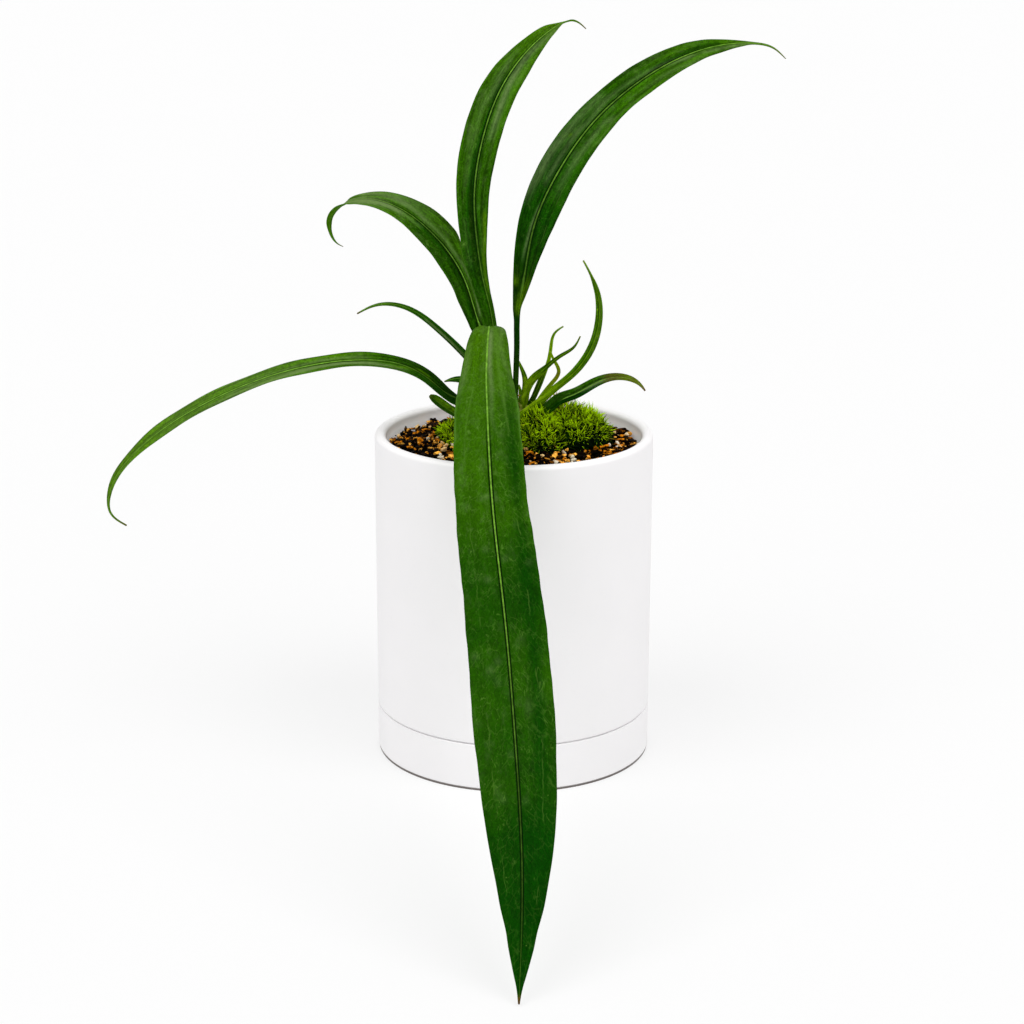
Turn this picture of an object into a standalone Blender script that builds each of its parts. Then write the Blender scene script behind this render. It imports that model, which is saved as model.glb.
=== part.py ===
"""Strap-leaf anthurium growing in a white ceramic cylinder pot with its saucer.

Origin: the centre of the saucer's flat underside. +Z is up and the longest leaf arches towards -Y.
Plain numbers below are millimetres, degrees, or shares from 0 to 1. MM turns them into metres.
"""
import bpy
import bmesh
import numpy as np
from math import cos, radians, sin, tau

MM = 0.001
FIT_GAP = 0.3
SMOOTH_BELOW = 50
FLAT_BELOW = 20

POT_RADIUS = 65.0
POT_HEIGHT = 155.0
POT_WALL = 5.2
POT_SIDES = 60
SEAM_HEIGHT = 23.0
SEAM_GAP = 0.6
SAUCER_WALL = 4.6
SAUCER_FLOOR = 4.0
SAUCER_EDGE = 0.8
SEAM_EDGE = 0.5
CORNER_CUT = 1.0
FOOT_CLEARANCE = 0.7
FOOT_WALL = 5.0
FOOT_HEIGHT = 3.0
FOOT_RING = 7.0
POT_FLOOR = 4.0
INNER_CUT = 2.0
DRAIN_RADIUS = 8.0
SHOULDER_RISE = 7.0
LIP_STEPS = 6

MIX_LEVEL = 147.6
MIX_RINGS = 18
MIX_JITTER = 0.8
CHUNK_SIZE = 7.5
CHUNK_RELIEF = 1.5
CHUNK_TILT = 0.22
MIX_MARGIN = 3.4
SEED = 11

# A cushion of moss: a place inside it, then its lumps, each a centre in plan, a radius and a height.
# It has rings of tufts, each tuft up to the given length.
MOSSES = {
    "moss_right": dict(centre=(24, 6), rings=15, tuft=2.6,
                       lumps=((28, 9.5, 20.5, 14.5), (13.5, -6.5, 12.5, 9), (16.5, 19, 11.5, 13))),
    "moss_left": dict(centre=(-23, 8), rings=10, tuft=1.9,
                      lumps=((-21.5, 4, 12.5, 4.8), (-24.5, 13, 12.5, 7.5))),
}
MOSS_SKIRT = 0.8
MOSS_SHOULDER = 0.55
MOSS_UNDERCUT = 0.03
TUFT_LEAN = 0.35
TUFT_RANGE = (0.7, 1.2)

# The crown: (radius, height) pairs of its lower stem and bulge above its foot, which is in the mix.
CROWN_PLACE = (-2.0, 9.0)
CROWN_FOOT = 134.0
CROWN_NECK = 5.2
CROWN_SIDES = 16
CROWN_PROFILE = ((0, 0.3), (5.2, 0.3), (5.2, 16), (6.6, 19), (7.6, 22), (6.8, 25.5), (4.2, 28.5),
                 (0, 29.5))
BUD = dict(start=(0, 11, 150), way=(5, 4, 14), radii=(3.5, 4.8), length=14.8, sides=9)
SHEATH_TURNS = (0.4, 1.7, 3.3, 4.3, 5.2)
SHEATH_REACH = 4.2
SHEATH_START = 150.0
SHEATH_LEAN = 0.45
SHEATH_RADII = (2.6, 0.5)
SHEATH_LENGTHS = (9.0, 13.0)
SHEATH_SIDES = 6
SOCKET_REACH = 14.0
SOCKET_FLARE = 1.0
SOCKET_SIDES = 8
SOCKET_SAMPLES = 12

# A leaf: spine points from the crown to the tip, half widths and facings at shares of its length.
# petiole is the share of the length before the blade opens, and fold is the angle each half rises.
LEAVES = {
    "leaf_front_long": dict(
        spine=((-3, 5, 157), (-6, 5, 175), (-10, 4, 192), (-11.3, -3, 203.5), (-11.6, -14, 206),
               (-12.4, -32, 194.5), (-12, -58, 183.5), (-11, -83, 172), (-8, -120, 151),
               (-3, -168, 116.5), (1.5, -207, 80), (3.4, -240, 41), (2.4, -265.2, 1.6)),
        outline=((0, 1.9), (0.05, 2.3), (0.13, 6.6), (0.2, 10.4), (0.27, 13.1), (0.34, 14.5), (0.45, 15.5),
                 (0.6, 16.3), (0.7, 16.3), (0.77, 15.7), (0.83, 13.8), (0.91, 8.6), (0.97, 2.6), (1, 0.5)),
        facing=((0, (0, 1, 0.2)), (0.1, (0, 0.8, 0.5)), (0.17, (0, -0.2, 1)), (0.3, (0, -0.5, 1)),
                (1, (0, -1, 0.6))),
        petiole=0.04, fold=9, rows=38, columns=7, thick=0.9, wave=0.7, waves=6),
    "leaf_back_left": dict(
        spine=((-5.6, 9.5, 158.5), (-9.3, 15.5, 177.5), (-13.2, 21, 191.5), (-16.4, 23.5, 200.9),
               (-24, 31, 220.2), (-37.6, 40.5, 239.5), (-54.3, 48.5, 251.5), (-71, 55, 254.5),
               (-79.5, 58, 252.7), (-86.3, 60, 248.4), (-89.2, 61, 242.4), (-88, 61, 236.4),
               (-82.5, 59, 231.4)),
        outline=((0, 1.6), (0.18, 1.7), (0.27, 4.5), (0.4, 6.7), (0.52, 8.1), (0.62, 7.3), (0.72, 5.4),
                 (0.8, 3.4), (0.9, 1.9), (0.96, 1.1), (1, 0.4)),
        facing=((0, (0.2, -1, 0.2)), (0.7, (0, -0.9, 0.5)), (0.84, (-0.4, -0.4, 0.8)),
                (0.92, (-0.9, 0.4, 0)), (1, (-0.4, 0.9, -0.3))),
        petiole=0.18, fold=9, rows=29, columns=7, thick=0.8, wave=0.7, waves=5),
    "leaf_back_tall": dict(
        spine=((-2.3, 11.5, 159.3), (-6, 12, 180), (-9, 13, 197), (-11.1, 14, 209.7), (-15.2, 17, 221),
               (-18.3, 22, 238), (-19.4, 29, 261), (-14.9, 37, 285.6), (-5.3, 49, 311.6),
               (11, 60, 329), (27.4, 69, 338), (33.6, 71, 333.4)),
        outline=((0, 1.4), (0.24, 1.4), (0.32, 3.6), (0.4, 6.2), (0.52, 8.1), (0.63, 9.1), (0.72, 8.8),
                 (0.8, 7), (0.87, 3.7), (0.93, 1.2), (1, 0.4)),
        facing=((0, (0, -1, 0.2)), (1, (0.1, -0.9, 0.5))),
        petiole=0.24, fold=10, rows=29, columns=7, thick=0.8, wave=0.6, waves=5),
    "leaf_back_right": dict(
        spine=((0.6, 9.5, 159), (0.8, 10.5, 178), (1.2, 12, 195.4), (0.6, 14, 205.4), (3.3, 17, 217.2),
               (9.3, 27, 246.5), (18.8, 36, 267.2), (36.5, 48, 292), (58.4, 59, 309.5),
               (87.9, 70, 323.4), (114.9, 78, 326), (123.5, 80, 324), (130, 81, 318.7)),
        outline=((0, 1.3), (0.17, 1.2), (0.22, 2.8), (0.28, 5.6), (0.36, 8.4), (0.46, 9.9), (0.56, 9.5),
                 (0.7, 8), (0.79, 6.2), (0.87, 3), (0.93, 1), (1, 0.35)),
        facing=((0, (0, -1, 0.2)), (1, (0, -0.9, 0.6))),
        petiole=0.17, fold=11, rows=33, columns=7, thick=0.8, wave=0.8, waves=6),
    "leaf_left_long": dict(
        spine=((-7.5, 6.5, 155.5), (-16, 3.5, 163.5), (-27.5, 1, 169.3), (-40, -2, 180), (-52, -5, 186.7),
               (-70.4, -9, 191), (-106.4, -17, 187), (-142.6, -25, 172), (-172.9, -32, 151.6),
               (-184.4, -35, 132), (-184, -35, 124.5), (-177, -35, 118.5)),
        outline=((0, 1.6), (0.06, 2.4), (0.12, 3.7), (0.2, 4.1), (0.5, 3.9), (0.72, 3.4), (0.86, 2.1),
                 (0.94, 1.2), (1, 0.4)),
        facing=((0, (0, -0.5, 0.9)), (0.7, (-0.2, -0.6, 0.8)), (0.88, (-0.8, -0.5, 0.3)),
                (1, (-0.6, -0.6, -0.4))),
        petiole=0.05, fold=10, rows=32, columns=5, thick=0.8, wave=0.4, waves=6),
    "leaf_left_narrow": dict(
        spine=((-8.2, 12.8, 157), (-12, 12.3, 171), (-17, 12.5, 180.5), (-23.8, 14, 188.4),
               (-37.3, 19, 200.8), (-51, 24, 207.8), (-64.7, 28, 208.6), (-74.4, 30, 204)),
        outline=((0, 1.1), (0.2, 1.3), (0.35, 1.8), (0.6, 1.7), (0.8, 1.2), (1, 0.35)),
        facing=((0, (0, -0.7, 0.7)), (1, (-0.2, -0.6, 0.8))),
        petiole=0.2, fold=10, rows=18, columns=5, thick=0.7, wave=0.3, waves=3),
    "leaf_left_stub": dict(
        spine=((-6.5, 3.5, 151.8), (-12, 0, 156), (-19, -3.5, 159.3), (-28, -6, 164.4), (-39, -9, 173.6)),
        outline=((0, 1.3), (0.2, 1.6), (0.5, 2.6), (0.85, 2.9), (0.95, 2.2), (1, 0.9)),
        facing=((0, (0, -0.7, 0.8)), (1, (0.2, -0.8, 0.6))),
        petiole=0.15, fold=20, rows=12, columns=5, thick=0.8, wave=0.2, waves=2),
    "leaf_left_tip": dict(
        spine=((-4.2, 14.6, 155.5), (-10, 18, 166), (-18.4, 19.5, 172.6), (-26.3, 20.5, 174.7),
               (-33, 21.5, 173.1)),
        outline=((0, 1), (0.25, 1.2), (0.6, 2.2), (0.85, 1.4), (1, 0.35)),
        facing=((0, (0.2, -0.8, 0.6)), (1, (0, -0.6, 0.8))),
        petiole=0.25, fold=14, rows=12, columns=5, thick=0.7, wave=0.2, waves=2),
    "leaf_right_upright": dict(
        spine=((2.2, 5.8, 161), (9.1, 4.5, 168.3), (18.5, 2, 174.3), (27, 0, 182), (33.9, -1, 192),
               (38.5, -2, 202.3), (39.4, -2, 213.1), (37.6, -1, 222.2), (31.5, 1, 235.1)),
        outline=((0, 1.7), (0.15, 2.2), (0.3, 2.3), (0.6, 2), (0.85, 1.3), (1, 0.35)),
        facing=((0, (-0.4, -0.6, 0.7)), (0.5, (-0.6, -0.8, 0.3)), (1, (-0.8, -0.6, -0.2))),
        petiole=0.12, fold=18, rows=22, columns=5, thick=0.8, wave=0.3, waves=3),
    "leaf_right_low": dict(
        spine=((2.6, 4.6, 155.2), (8.3, 3.2, 160.4), (15.5, 1, 163.7), (21.1, -2, 169.2), (28.1, -5, 174),
               (35.1, -8, 178.2), (48.8, -14, 183.7), (57.8, -18, 180.8), (59.8, -19, 178.6)),
        outline=((0, 1.6), (0.2, 1.8), (0.38, 2.5), (0.7, 2.3), (0.88, 1.4), (1, 0.4)),
        facing=((0, (-0.2, -0.7, 0.7)), (1, (0.2, -0.5, 0.8))),
        petiole=0.22, fold=10, rows=20, columns=5, thick=0.8, wave=0.3, waves=3),
    "shoot_forked": dict(
        spine=((6.3, 14, 162.5), (9.9, 15, 168.5), (12.7, 16, 175), (15.6, 17, 182), (17.3, 18.5, 190),
               (19.1, 20, 197), (23.1, 21, 200)),
        outline=((0, 1), (0.3, 1.3), (0.7, 1), (1, 0.35)),
        facing=((0, (-0.5, -0.9, 0.2)), (1, (-0.5, -0.8, 0.4))),
        petiole=0.1, fold=15, rows=12, columns=3, thick=0.7, wave=0, waves=1),
    "dried_tendril": dict(
        spine=((8.5, 11.5, 162.5), (14.2, 11, 170.6), (17.8, 11.5, 175), (20.9, 12.5, 180.2),
               (18.2, 12.5, 186.5), (17, 12.5, 190)),
        outline=((0, 0.8), (0.4, 1), (0.8, 0.8), (1, 0.35)),
        facing=((0, (-0.3, -0.9, 0.3)), (1, (0.3, -0.9, 0.3))),
        petiole=0.05, fold=10, rows=12, columns=3, thick=0.7, wave=0.2, waves=4),
    "shoot_curved": dict(
        spine=((4.2, 12, 162.5), (5.6, 11.5, 170), (8.6, 11, 176.3), (13, 10, 180.8), (22.9, 7, 188.9),
               (27.9, 5, 193.2), (30.6, 4, 199)),
        outline=((0, 1), (0.3, 1.8), (0.55, 1.6), (0.8, 1), (1, 0.35)),
        facing=((0, (-0.5, -0.9, 0.3)), (1, (-0.4, -0.8, 0.5))),
        petiole=0.1, fold=18, rows=14, columns=5, thick=0.7, wave=0.2, waves=2),
    "shoot_inner": dict(
        spine=((3.6, 15.8, 162.5), (5.4, 16.5, 169), (5.9, 18, 176), (4.4, 19, 180), (1.9, 20, 184.7)),
        outline=((0, 1.1), (0.3, 1.9), (0.7, 1.3), (1, 0.35)),
        facing=((0, (0.2, -0.9, 0.2)), (1, (0.3, -0.9, 0.3))),
        petiole=0.1, fold=18, rows=10, columns=5, thick=0.7, wave=0, waves=1),
    "shoot_bud": dict(
        spine=((1.6, 16.8, 159.5), (3.2, 19.6, 165.6), (2.2, 21.5, 171.7)),
        outline=((0, 1), (0.4, 1.4), (1, 0.4)),
        facing=((0, (0.2, -0.9, 0.2)), (1, (0.2, -0.9, 0.2))),
        petiole=0.1, fold=16, rows=7, columns=3, thick=0.7, wave=0, waves=1),
}

RIB_BREADTH = 1.4
RIB_UPPER = 0.35
RIB_LOWER = 0.75
RIB_WIDEST_SHARE = 0.3
RIB_NARROWING = 0.5
RIB_SINKING = 0.7
BLADE_OPENING = 0.10
FOLD_ROUNDING = 0.3
WAVE_SHIFT = 0.9
WAVE_STRETCH = 1.13
FULL_WAVE_WIDTH = 6.0
OUTER_COLUMN = 0.58
SPINE_STEPS = 800


def clear_scene():
    for item in list(bpy.data.objects):
        bpy.data.objects.remove(item, do_unlink=True)


def material(name, colour, roughness):
    made = bpy.data.materials.new(name)
    made.use_nodes = True
    shader = made.node_tree.nodes["Principled BSDF"]
    shader.inputs["Base Color"].default_value = (*colour, 1.0)
    shader.inputs["Roughness"].default_value = roughness
    return made


def add_object(name, mesh, finish=None, sharp=SMOOTH_BELOW):
    made = bpy.data.objects.new(name, mesh)
    bpy.context.scene.collection.objects.link(made)
    if finish is not None:
        mesh.materials.append(finish)
    mesh.shade_smooth()
    mesh.set_sharp_from_angle(angle=radians(sharp))
    return made


def mesh_of(name, points, faces):
    """A closed mesh from points in millimetres, with its faces turned outward."""
    mesh = bpy.data.meshes.new(name)
    mesh.from_pydata([tuple(p) for p in np.asarray(points, float) * MM], [], [tuple(f) for f in faces])
    work = bmesh.new()
    work.from_mesh(mesh)
    bmesh.ops.recalc_face_normals(work, faces=work.faces)
    work.to_mesh(mesh)
    work.free()
    return mesh


def arc(centre, radius, start, end, steps):
    """Points of a round corner in a profile, as (radius, height) pairs."""
    turns = np.linspace(radians(start), radians(end), steps + 1)
    return [(centre[0] + radius * cos(t), centre[1] + radius * sin(t)) for t in turns]


def turned(name, profile, sides, closed=False):
    """The solid swept by a profile of (radius, height) points turned about the Z axis."""
    work = bmesh.new()
    verts = [work.verts.new((r * MM, 0, z * MM)) for r, z in profile]
    pairs = list(zip(verts[:-1], verts[1:]))
    if closed:
        pairs.append((verts[-1], verts[0]))
    edges = [work.edges.new(pair) for pair in pairs]
    bmesh.ops.spin(work, geom=verts + edges, cent=(0, 0, 0), axis=(0, 0, 1), angle=tau,
                   steps=sides, use_merge=True)
    bmesh.ops.remove_doubles(work, verts=work.verts, dist=1e-6)
    bmesh.ops.recalc_face_normals(work, faces=work.faces)
    mesh = bpy.data.meshes.new(name)
    work.to_mesh(mesh)
    work.free()
    return mesh


def combine(base, tools, operation):
    """Joins the tools to the base, or cuts them from it, and removes them."""
    group = bpy.data.collections.new(base.name + "_tools")
    bpy.context.scene.collection.children.link(group)
    for tool in tools:
        group.objects.link(tool)
    step = base.modifiers.new("combine", "BOOLEAN")
    step.operation = operation
    step.operand_type = "COLLECTION"
    step.collection = group
    step.solver = "EXACT"
    seen = base.evaluated_get(bpy.context.evaluated_depsgraph_get())
    result = bpy.data.meshes.new_from_object(seen)
    base.modifiers.remove(step)
    base.data = result
    for tool in tools:
        bpy.data.objects.remove(tool, do_unlink=True)
    bpy.data.collections.remove(group)


def eased(stations, at):
    """Values between hand-set (share, value) stations, by a monotone cubic."""
    x = np.array([s for s, _ in stations], float)
    y = np.array([v for _, v in stations], float).reshape(len(x), -1)
    h = np.diff(x)[:, None]
    slope = np.diff(y, axis=0) / h
    grade = np.zeros_like(y)
    grade[0] = slope[0]
    grade[-1] = slope[-1]
    for i in range(1, len(x) - 1):
        same = slope[i - 1] * slope[i] > 0
        total = np.where(same, slope[i - 1] + slope[i], 1)
        grade[i] = np.where(same, 2 * slope[i - 1] * slope[i] / total, 0)
    i = np.clip(np.searchsorted(x, at, side="right") - 1, 0, len(x) - 2)
    t = ((at - x[i]) / h[i, 0])[:, None]
    value = (1 + 2 * t) * (1 - t) ** 2 * y[i] + t * t * (3 - 2 * t) * y[i + 1]
    value += t * (1 - t) ** 2 * h[i] * grade[i] + t * t * (t - 1) * h[i] * grade[i + 1]
    return value[:, 0] if value.shape[1] == 1 else value


def smooth_line(points, count):
    """Evenly spaced places on a natural cubic spline through the points, with their directions."""
    points = np.array(points, float)
    gaps = np.linalg.norm(np.diff(points, axis=0), axis=1)
    knots = np.concatenate([[0], np.cumsum(gaps)])
    system = np.eye(len(points))
    target = np.zeros_like(points)
    for i in range(1, len(points) - 1):
        before, after = gaps[i - 1], gaps[i]
        system[i, i - 1:i + 2] = before, 2 * (before + after), after
        target[i] = 6 * ((points[i + 1] - points[i]) / after - (points[i] - points[i - 1]) / before)
    bend = np.linalg.solve(system, target)
    fine = np.linspace(0, knots[-1], SPINE_STEPS)
    i = np.clip(np.searchsorted(knots, fine, side="right") - 1, 0, len(points) - 2)
    h = gaps[i][:, None]
    a = (fine - knots[i])[:, None]
    b = (knots[i + 1] - fine)[:, None]
    line = (bend[i] * b ** 3 + bend[i + 1] * a ** 3) / (6 * h)
    line += (points[i] / h - bend[i] * h / 6) * b + (points[i + 1] / h - bend[i + 1] * h / 6) * a
    run = np.concatenate([[0], np.cumsum(np.linalg.norm(np.diff(line, axis=0), axis=1))])
    even = np.linspace(0, run[-1], count)
    places = np.stack([np.interp(even, run, line[:, k]) for k in range(3)], axis=1)
    ways = np.gradient(places, axis=0)
    return places, ways / np.linalg.norm(ways, axis=1)[:, None]


def column_shares(columns, half_width):
    """Places of the lengthwise lines across one half blade section, from edge to edge."""
    rib = min(RIB_BREADTH / half_width, RIB_WIDEST_SHARE)
    inner = {3: (), 5: (rib,), 7: (rib, OUTER_COLUMN)}[columns]
    right = sorted(inner) + [1.0]
    return np.array([-r for r in reversed(right)] + [0.0] + right)


def blade_surfaces(leaf):
    """The upper and lower points of a leaf, each as rows by columns by three."""
    rows, columns = leaf["rows"], leaf["columns"]
    share = np.linspace(0, 1, rows)
    places, ways = smooth_line(leaf["spine"], rows)
    facing = eased(leaf["facing"], share)
    normals = facing - (facing * ways).sum(axis=1)[:, None] * ways
    normals /= np.linalg.norm(normals, axis=1)[:, None]
    sides = np.cross(ways, normals)
    halves = eased(leaf["outline"], share)
    opening = np.clip((share - leaf["petiole"]) / BLADE_OPENING, 0, 1)
    opening = opening * opening * (3 - 2 * opening)
    upper = np.zeros((rows, columns, 3))
    lower = np.zeros((rows, columns, 3))
    for k in range(rows):
        half, blade = halves[k], opening[k]
        across = column_shares(columns, half)
        spread = np.abs(across)
        rise = half * sin(radians(leaf["fold"])) * spread * blade
        rise *= 1 + FOLD_ROUNDING * (1 - spread)
        phase = tau * leaf["waves"] * share[k]
        ripple = np.where(across < 0, sin(phase + WAVE_SHIFT), sin(WAVE_STRETCH * phase)) * spread ** 2
        rise += ripple * leaf["wave"] * blade * min(1, half / FULL_WAVE_WIDTH)
        skin = leaf["thick"] / 2
        breadth = blade * RIB_BREADTH * (1 - RIB_NARROWING * share[k]) + (1 - blade) * half
        round_rib = np.sqrt(np.clip(1 - (across * half / breadth) ** 2, 0, 1))
        taper = blade * (1 - RIB_SINKING * share[k])
        stalk = (1 - blade) * max(half - skin, 0)
        top = skin + round_rib * (RIB_UPPER * taper + stalk)
        bottom = skin + round_rib * (RIB_LOWER * taper + stalk)
        flat = across * half * (blade * cos(radians(leaf["fold"])) + 1 - blade)
        for c in range(columns):
            middle = places[k] + flat[c] * sides[k] + rise[c] * normals[k]
            upper[k, c] = middle + top[c] * normals[k]
            lower[k, c] = middle - bottom[c] * normals[k]
    return upper, lower


def leaf_mesh(name, leaf):
    """One closed blade with its petiole, split into triangles alike on both faces."""
    rows, columns = leaf["rows"], leaf["columns"]
    upper, lower = blade_surfaces(leaf)
    points = np.concatenate([upper.reshape(-1, 3), lower.reshape(-1, 3)])
    below = rows * columns
    faces = []
    for k in range(rows - 1):
        for c in range(columns - 1):
            a = k * columns + c
            b, d, e = a + 1, a + columns, a + columns + 1
            split = ((a, b, e), (a, e, d)) if c < columns // 2 else ((a, b, d), (b, e, d))
            for one, two, three in split:
                faces.append((one, two, three))
                faces.append((one + below, three + below, two + below))
        for a in (k * columns, k * columns + columns - 1):
            faces.append((a, a + columns, a + columns + below))
            faces.append((a, a + columns + below, a + below))
    for first in (0, (rows - 1) * columns):
        ring = [first + c for c in range(columns)]
        ring += [first + c + below for c in reversed(range(columns))]
        faces.append(tuple(ring))
    return mesh_of(name, points, faces)


def hex_disc(rings):
    """A disc of near-equal triangles: its places in a unit circle, steps, rings, faces and rim."""
    steps = [(q, r) for q in range(-rings, rings + 1) for r in range(-rings, rings + 1)
             if abs(q + r) <= rings]
    index = {step: i for i, step in enumerate(steps)}
    places, ring_of = [], []
    for q, r in steps:
        ring = max(abs(q), abs(r), abs(q + r))
        x, y = q + r / 2, r * 3 ** 0.5 / 2
        reach = (x * x + y * y) ** 0.5
        scale = ring / rings / reach if reach else 0
        places.append((x * scale, y * scale))
        ring_of.append(ring)
    faces = []
    for q, r in steps:
        for other, third in (((q + 1, r), (q, r + 1)), ((q + 1, r), (q + 1, r - 1))):
            if other in index and third in index:
                faces.append((index[(q, r)], index[other], index[third]))
    rim = [i for i, ring in enumerate(ring_of) if ring == rings]
    rim.sort(key=lambda i: np.arctan2(places[i][1], places[i][0]))
    return np.array(places), steps, np.array(ring_of), faces, rim


def closed_under(points, faces, rim, lower_rings):
    """Adds side walls below a surface's rim, ring by ring, and a flat floor to close it."""
    points = [tuple(p) for p in points]
    faces = list(faces)
    above = rim
    for ring in lower_rings:
        start = len(points)
        points += [tuple(p) for p in ring]
        below = list(range(start, start + len(ring)))
        for i in range(len(rim)):
            j = (i + 1) % len(rim)
            faces.append((above[i], above[j], below[j], below[i]))
        above = below
    faces.append(tuple(reversed(above)))
    return points, faces


def make_saucer():
    inner = POT_RADIUS - SAUCER_WALL
    low = SEAM_HEIGHT - SEAM_GAP / 2 - SEAM_EDGE
    profile = [(0, 0)]
    profile += arc((POT_RADIUS - SAUCER_EDGE, SAUCER_EDGE), SAUCER_EDGE, -90, 0, 2)
    profile += arc((POT_RADIUS - SEAM_EDGE, low), SEAM_EDGE, 0, 90, 1)
    profile += arc((inner + SEAM_EDGE, low), SEAM_EDGE, 90, 180, 1)
    profile += [(inner, SAUCER_FLOOR + CORNER_CUT), (inner - CORNER_CUT, SAUCER_FLOOR),
                (0, SAUCER_FLOOR)]
    finish = material("white_ceramic_saucer", (0.86, 0.86, 0.86), 0.38)
    return add_object("saucer", turned("saucer", profile, POT_SIDES), finish)


def pot_inner_profile():
    """The pot's inside from the floor's edge up to the straight wall, as (radius, height) pairs."""
    foot = POT_RADIUS - SAUCER_WALL - FOOT_CLEARANCE
    floor_top = SAUCER_FLOOR + FIT_GAP + FOOT_HEIGHT + POT_FLOOR
    low = foot - FOOT_WALL
    wall = POT_RADIUS - POT_WALL
    return ((low - INNER_CUT, floor_top), (low, floor_top + INNER_CUT), (low, SEAM_HEIGHT + INNER_CUT),
            (wall, SEAM_HEIGHT + INNER_CUT + SHOULDER_RISE))


def make_pot():
    foot = POT_RADIUS - SAUCER_WALL - FOOT_CLEARANCE
    stand = SAUCER_FLOOR + FIT_GAP
    recess = stand + FOOT_HEIGHT
    shoulder = SEAM_HEIGHT + SEAM_GAP / 2
    lip = POT_WALL / 2
    inside = pot_inner_profile()
    profile = [(DRAIN_RADIUS, recess), (foot - FOOT_RING, recess),
               (foot - FOOT_RING + CORNER_CUT, stand), (foot - CORNER_CUT, stand),
               (foot, stand + CORNER_CUT), (foot, shoulder)]
    profile += arc((POT_RADIUS - SEAM_EDGE, shoulder + SEAM_EDGE), SEAM_EDGE, -90, 0, 1)
    profile += arc((POT_RADIUS - lip, POT_HEIGHT - lip), lip, 0, 180, LIP_STEPS)
    profile += list(reversed(inside))
    profile.append((DRAIN_RADIUS, inside[0][1]))
    finish = material("white_ceramic_pot", (0.86, 0.86, 0.86), 0.38)
    return add_object("pot", turned("pot", profile, POT_SIDES, closed=True), finish)


def chunk_relief(places, draw):
    """Height of bark and pumice lumps: each place takes the tilted top of its nearest lump."""
    count = int(4 * (POT_RADIUS / CHUNK_SIZE) ** 2)
    centres = draw.uniform(-POT_RADIUS, POT_RADIUS, (count, 2))
    heights = draw.uniform(-CHUNK_RELIEF, CHUNK_RELIEF, count)
    tilts = draw.uniform(-CHUNK_TILT, CHUNK_TILT, (count, 2))
    relief = []
    for place in places:
        away = place - centres
        near = np.argmin((away ** 2).sum(axis=1))
        relief.append(heights[near] + away[near] @ tilts[near])
    return np.clip(relief, -2 * CHUNK_RELIEF, 1.4 * CHUNK_RELIEF)


def cushion_gap(places, moss):
    """How far each place lies outside a cushion's outline in plan, below zero inside it."""
    gaps = [np.linalg.norm(places - (x, y), axis=1) - radius for x, y, radius, _ in moss["lumps"]]
    return np.min(gaps, axis=0)


def cushion_reach(way, moss):
    """How far the outline lies from the cushion's centre along a direction in plan."""
    reaches = []
    for x, y, radius, _ in moss["lumps"]:
        offset = np.subtract((x, y), moss["centre"])
        along = offset @ way
        inside = along ** 2 - offset @ offset + radius ** 2
        if inside > 0:
            reaches.append(along + inside ** 0.5)
    return max(reaches)


def cushion_height(place, moss):
    """The height of the tallest lump at a place in plan."""
    heights = []
    for x, y, radius, height in moss["lumps"]:
        share = np.hypot(place[0] - x, place[1] - y) / radius
        heights.append(height * max(1 - share ** 2, 0) ** MOSS_SHOULDER)
    return max(heights)


def make_mix():
    draw = np.random.default_rng(SEED)
    unit, _, ring_of, faces, rim = hex_disc(MIX_RINGS)
    outer = POT_RADIUS - POT_WALL - FIT_GAP
    plan = unit * outer
    inner_ring = ring_of < MIX_RINGS
    plan[inner_ring] += draw.uniform(-MIX_JITTER, MIX_JITTER, (inner_ring.sum(), 2))
    relief = chunk_relief(plan, draw)
    for moss in MOSSES.values():
        relief = relief * np.clip(cushion_gap(plan, moss) / MIX_MARGIN - 1, 0, 1)
    top = [(x, y, MIX_LEVEL + h) for (x, y), h in zip(plan, relief)]
    lower = []
    for radius, height in reversed(pot_inner_profile()):
        scale = (radius - FIT_GAP) / outer
        lower.append([(plan[i][0] * scale, plan[i][1] * scale, height + FIT_GAP) for i in rim])
    points, faces = closed_under(top, faces, rim, lower)
    finish = material("bark_mix", (0.10, 0.055, 0.03), 0.9)
    mix = add_object("potting_mix", mesh_of("potting_mix", points, faces), finish, FLAT_BELOW)
    depth = MIX_LEVEL + 4 * CHUNK_RELIEF - CROWN_FOOT
    hole = [(0, 0), (CROWN_NECK + FIT_GAP, 0), (CROWN_NECK + FIT_GAP, depth), (0, depth)]
    cutter = add_object("crown_hole", turned("crown_hole", hole, CROWN_SIDES))
    cutter.location = (CROWN_PLACE[0] * MM, CROWN_PLACE[1] * MM, CROWN_FOOT * MM)
    bpy.context.view_layer.update()
    combine(mix, [cutter], "DIFFERENCE")
    return mix


def make_moss(name, moss):
    """A cushion whose every third place stands up as the tip of a tuft."""
    draw = np.random.default_rng(SEED + moss["rings"])
    unit, steps, ring_of, faces, rim = hex_disc(moss["rings"])
    centre = np.array(moss["centre"], float)
    base = MIX_LEVEL + FIT_GAP
    points = []
    for i, place in enumerate(unit):
        share = np.linalg.norm(place)
        way = place / share if share else place
        spot = centre + place * cushion_reach(way, moss)
        tip = (steps[i][0] - steps[i][1]) % 3 == 0 and ring_of[i] < moss["rings"]
        grow = moss["tuft"] * draw.uniform(*TUFT_RANGE) if tip else 0
        spot = spot + (TUFT_LEAN * grow - MOSS_UNDERCUT * moss["tuft"]) * place
        points.append((*spot, base + MOSS_SKIRT + cushion_height(spot, moss) + grow))
    under = []
    for i in rim:
        spot = centre + (np.array(points[i][:2]) - centre) * (1 - MOSS_UNDERCUT)
        under.append((*spot, base))
    points, faces = closed_under(points, faces, rim, [under])
    finish = material(name, (0.16, 0.33, 0.03), 0.85)
    return add_object(name, mesh_of(name, points, faces), finish, FLAT_BELOW)


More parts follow.
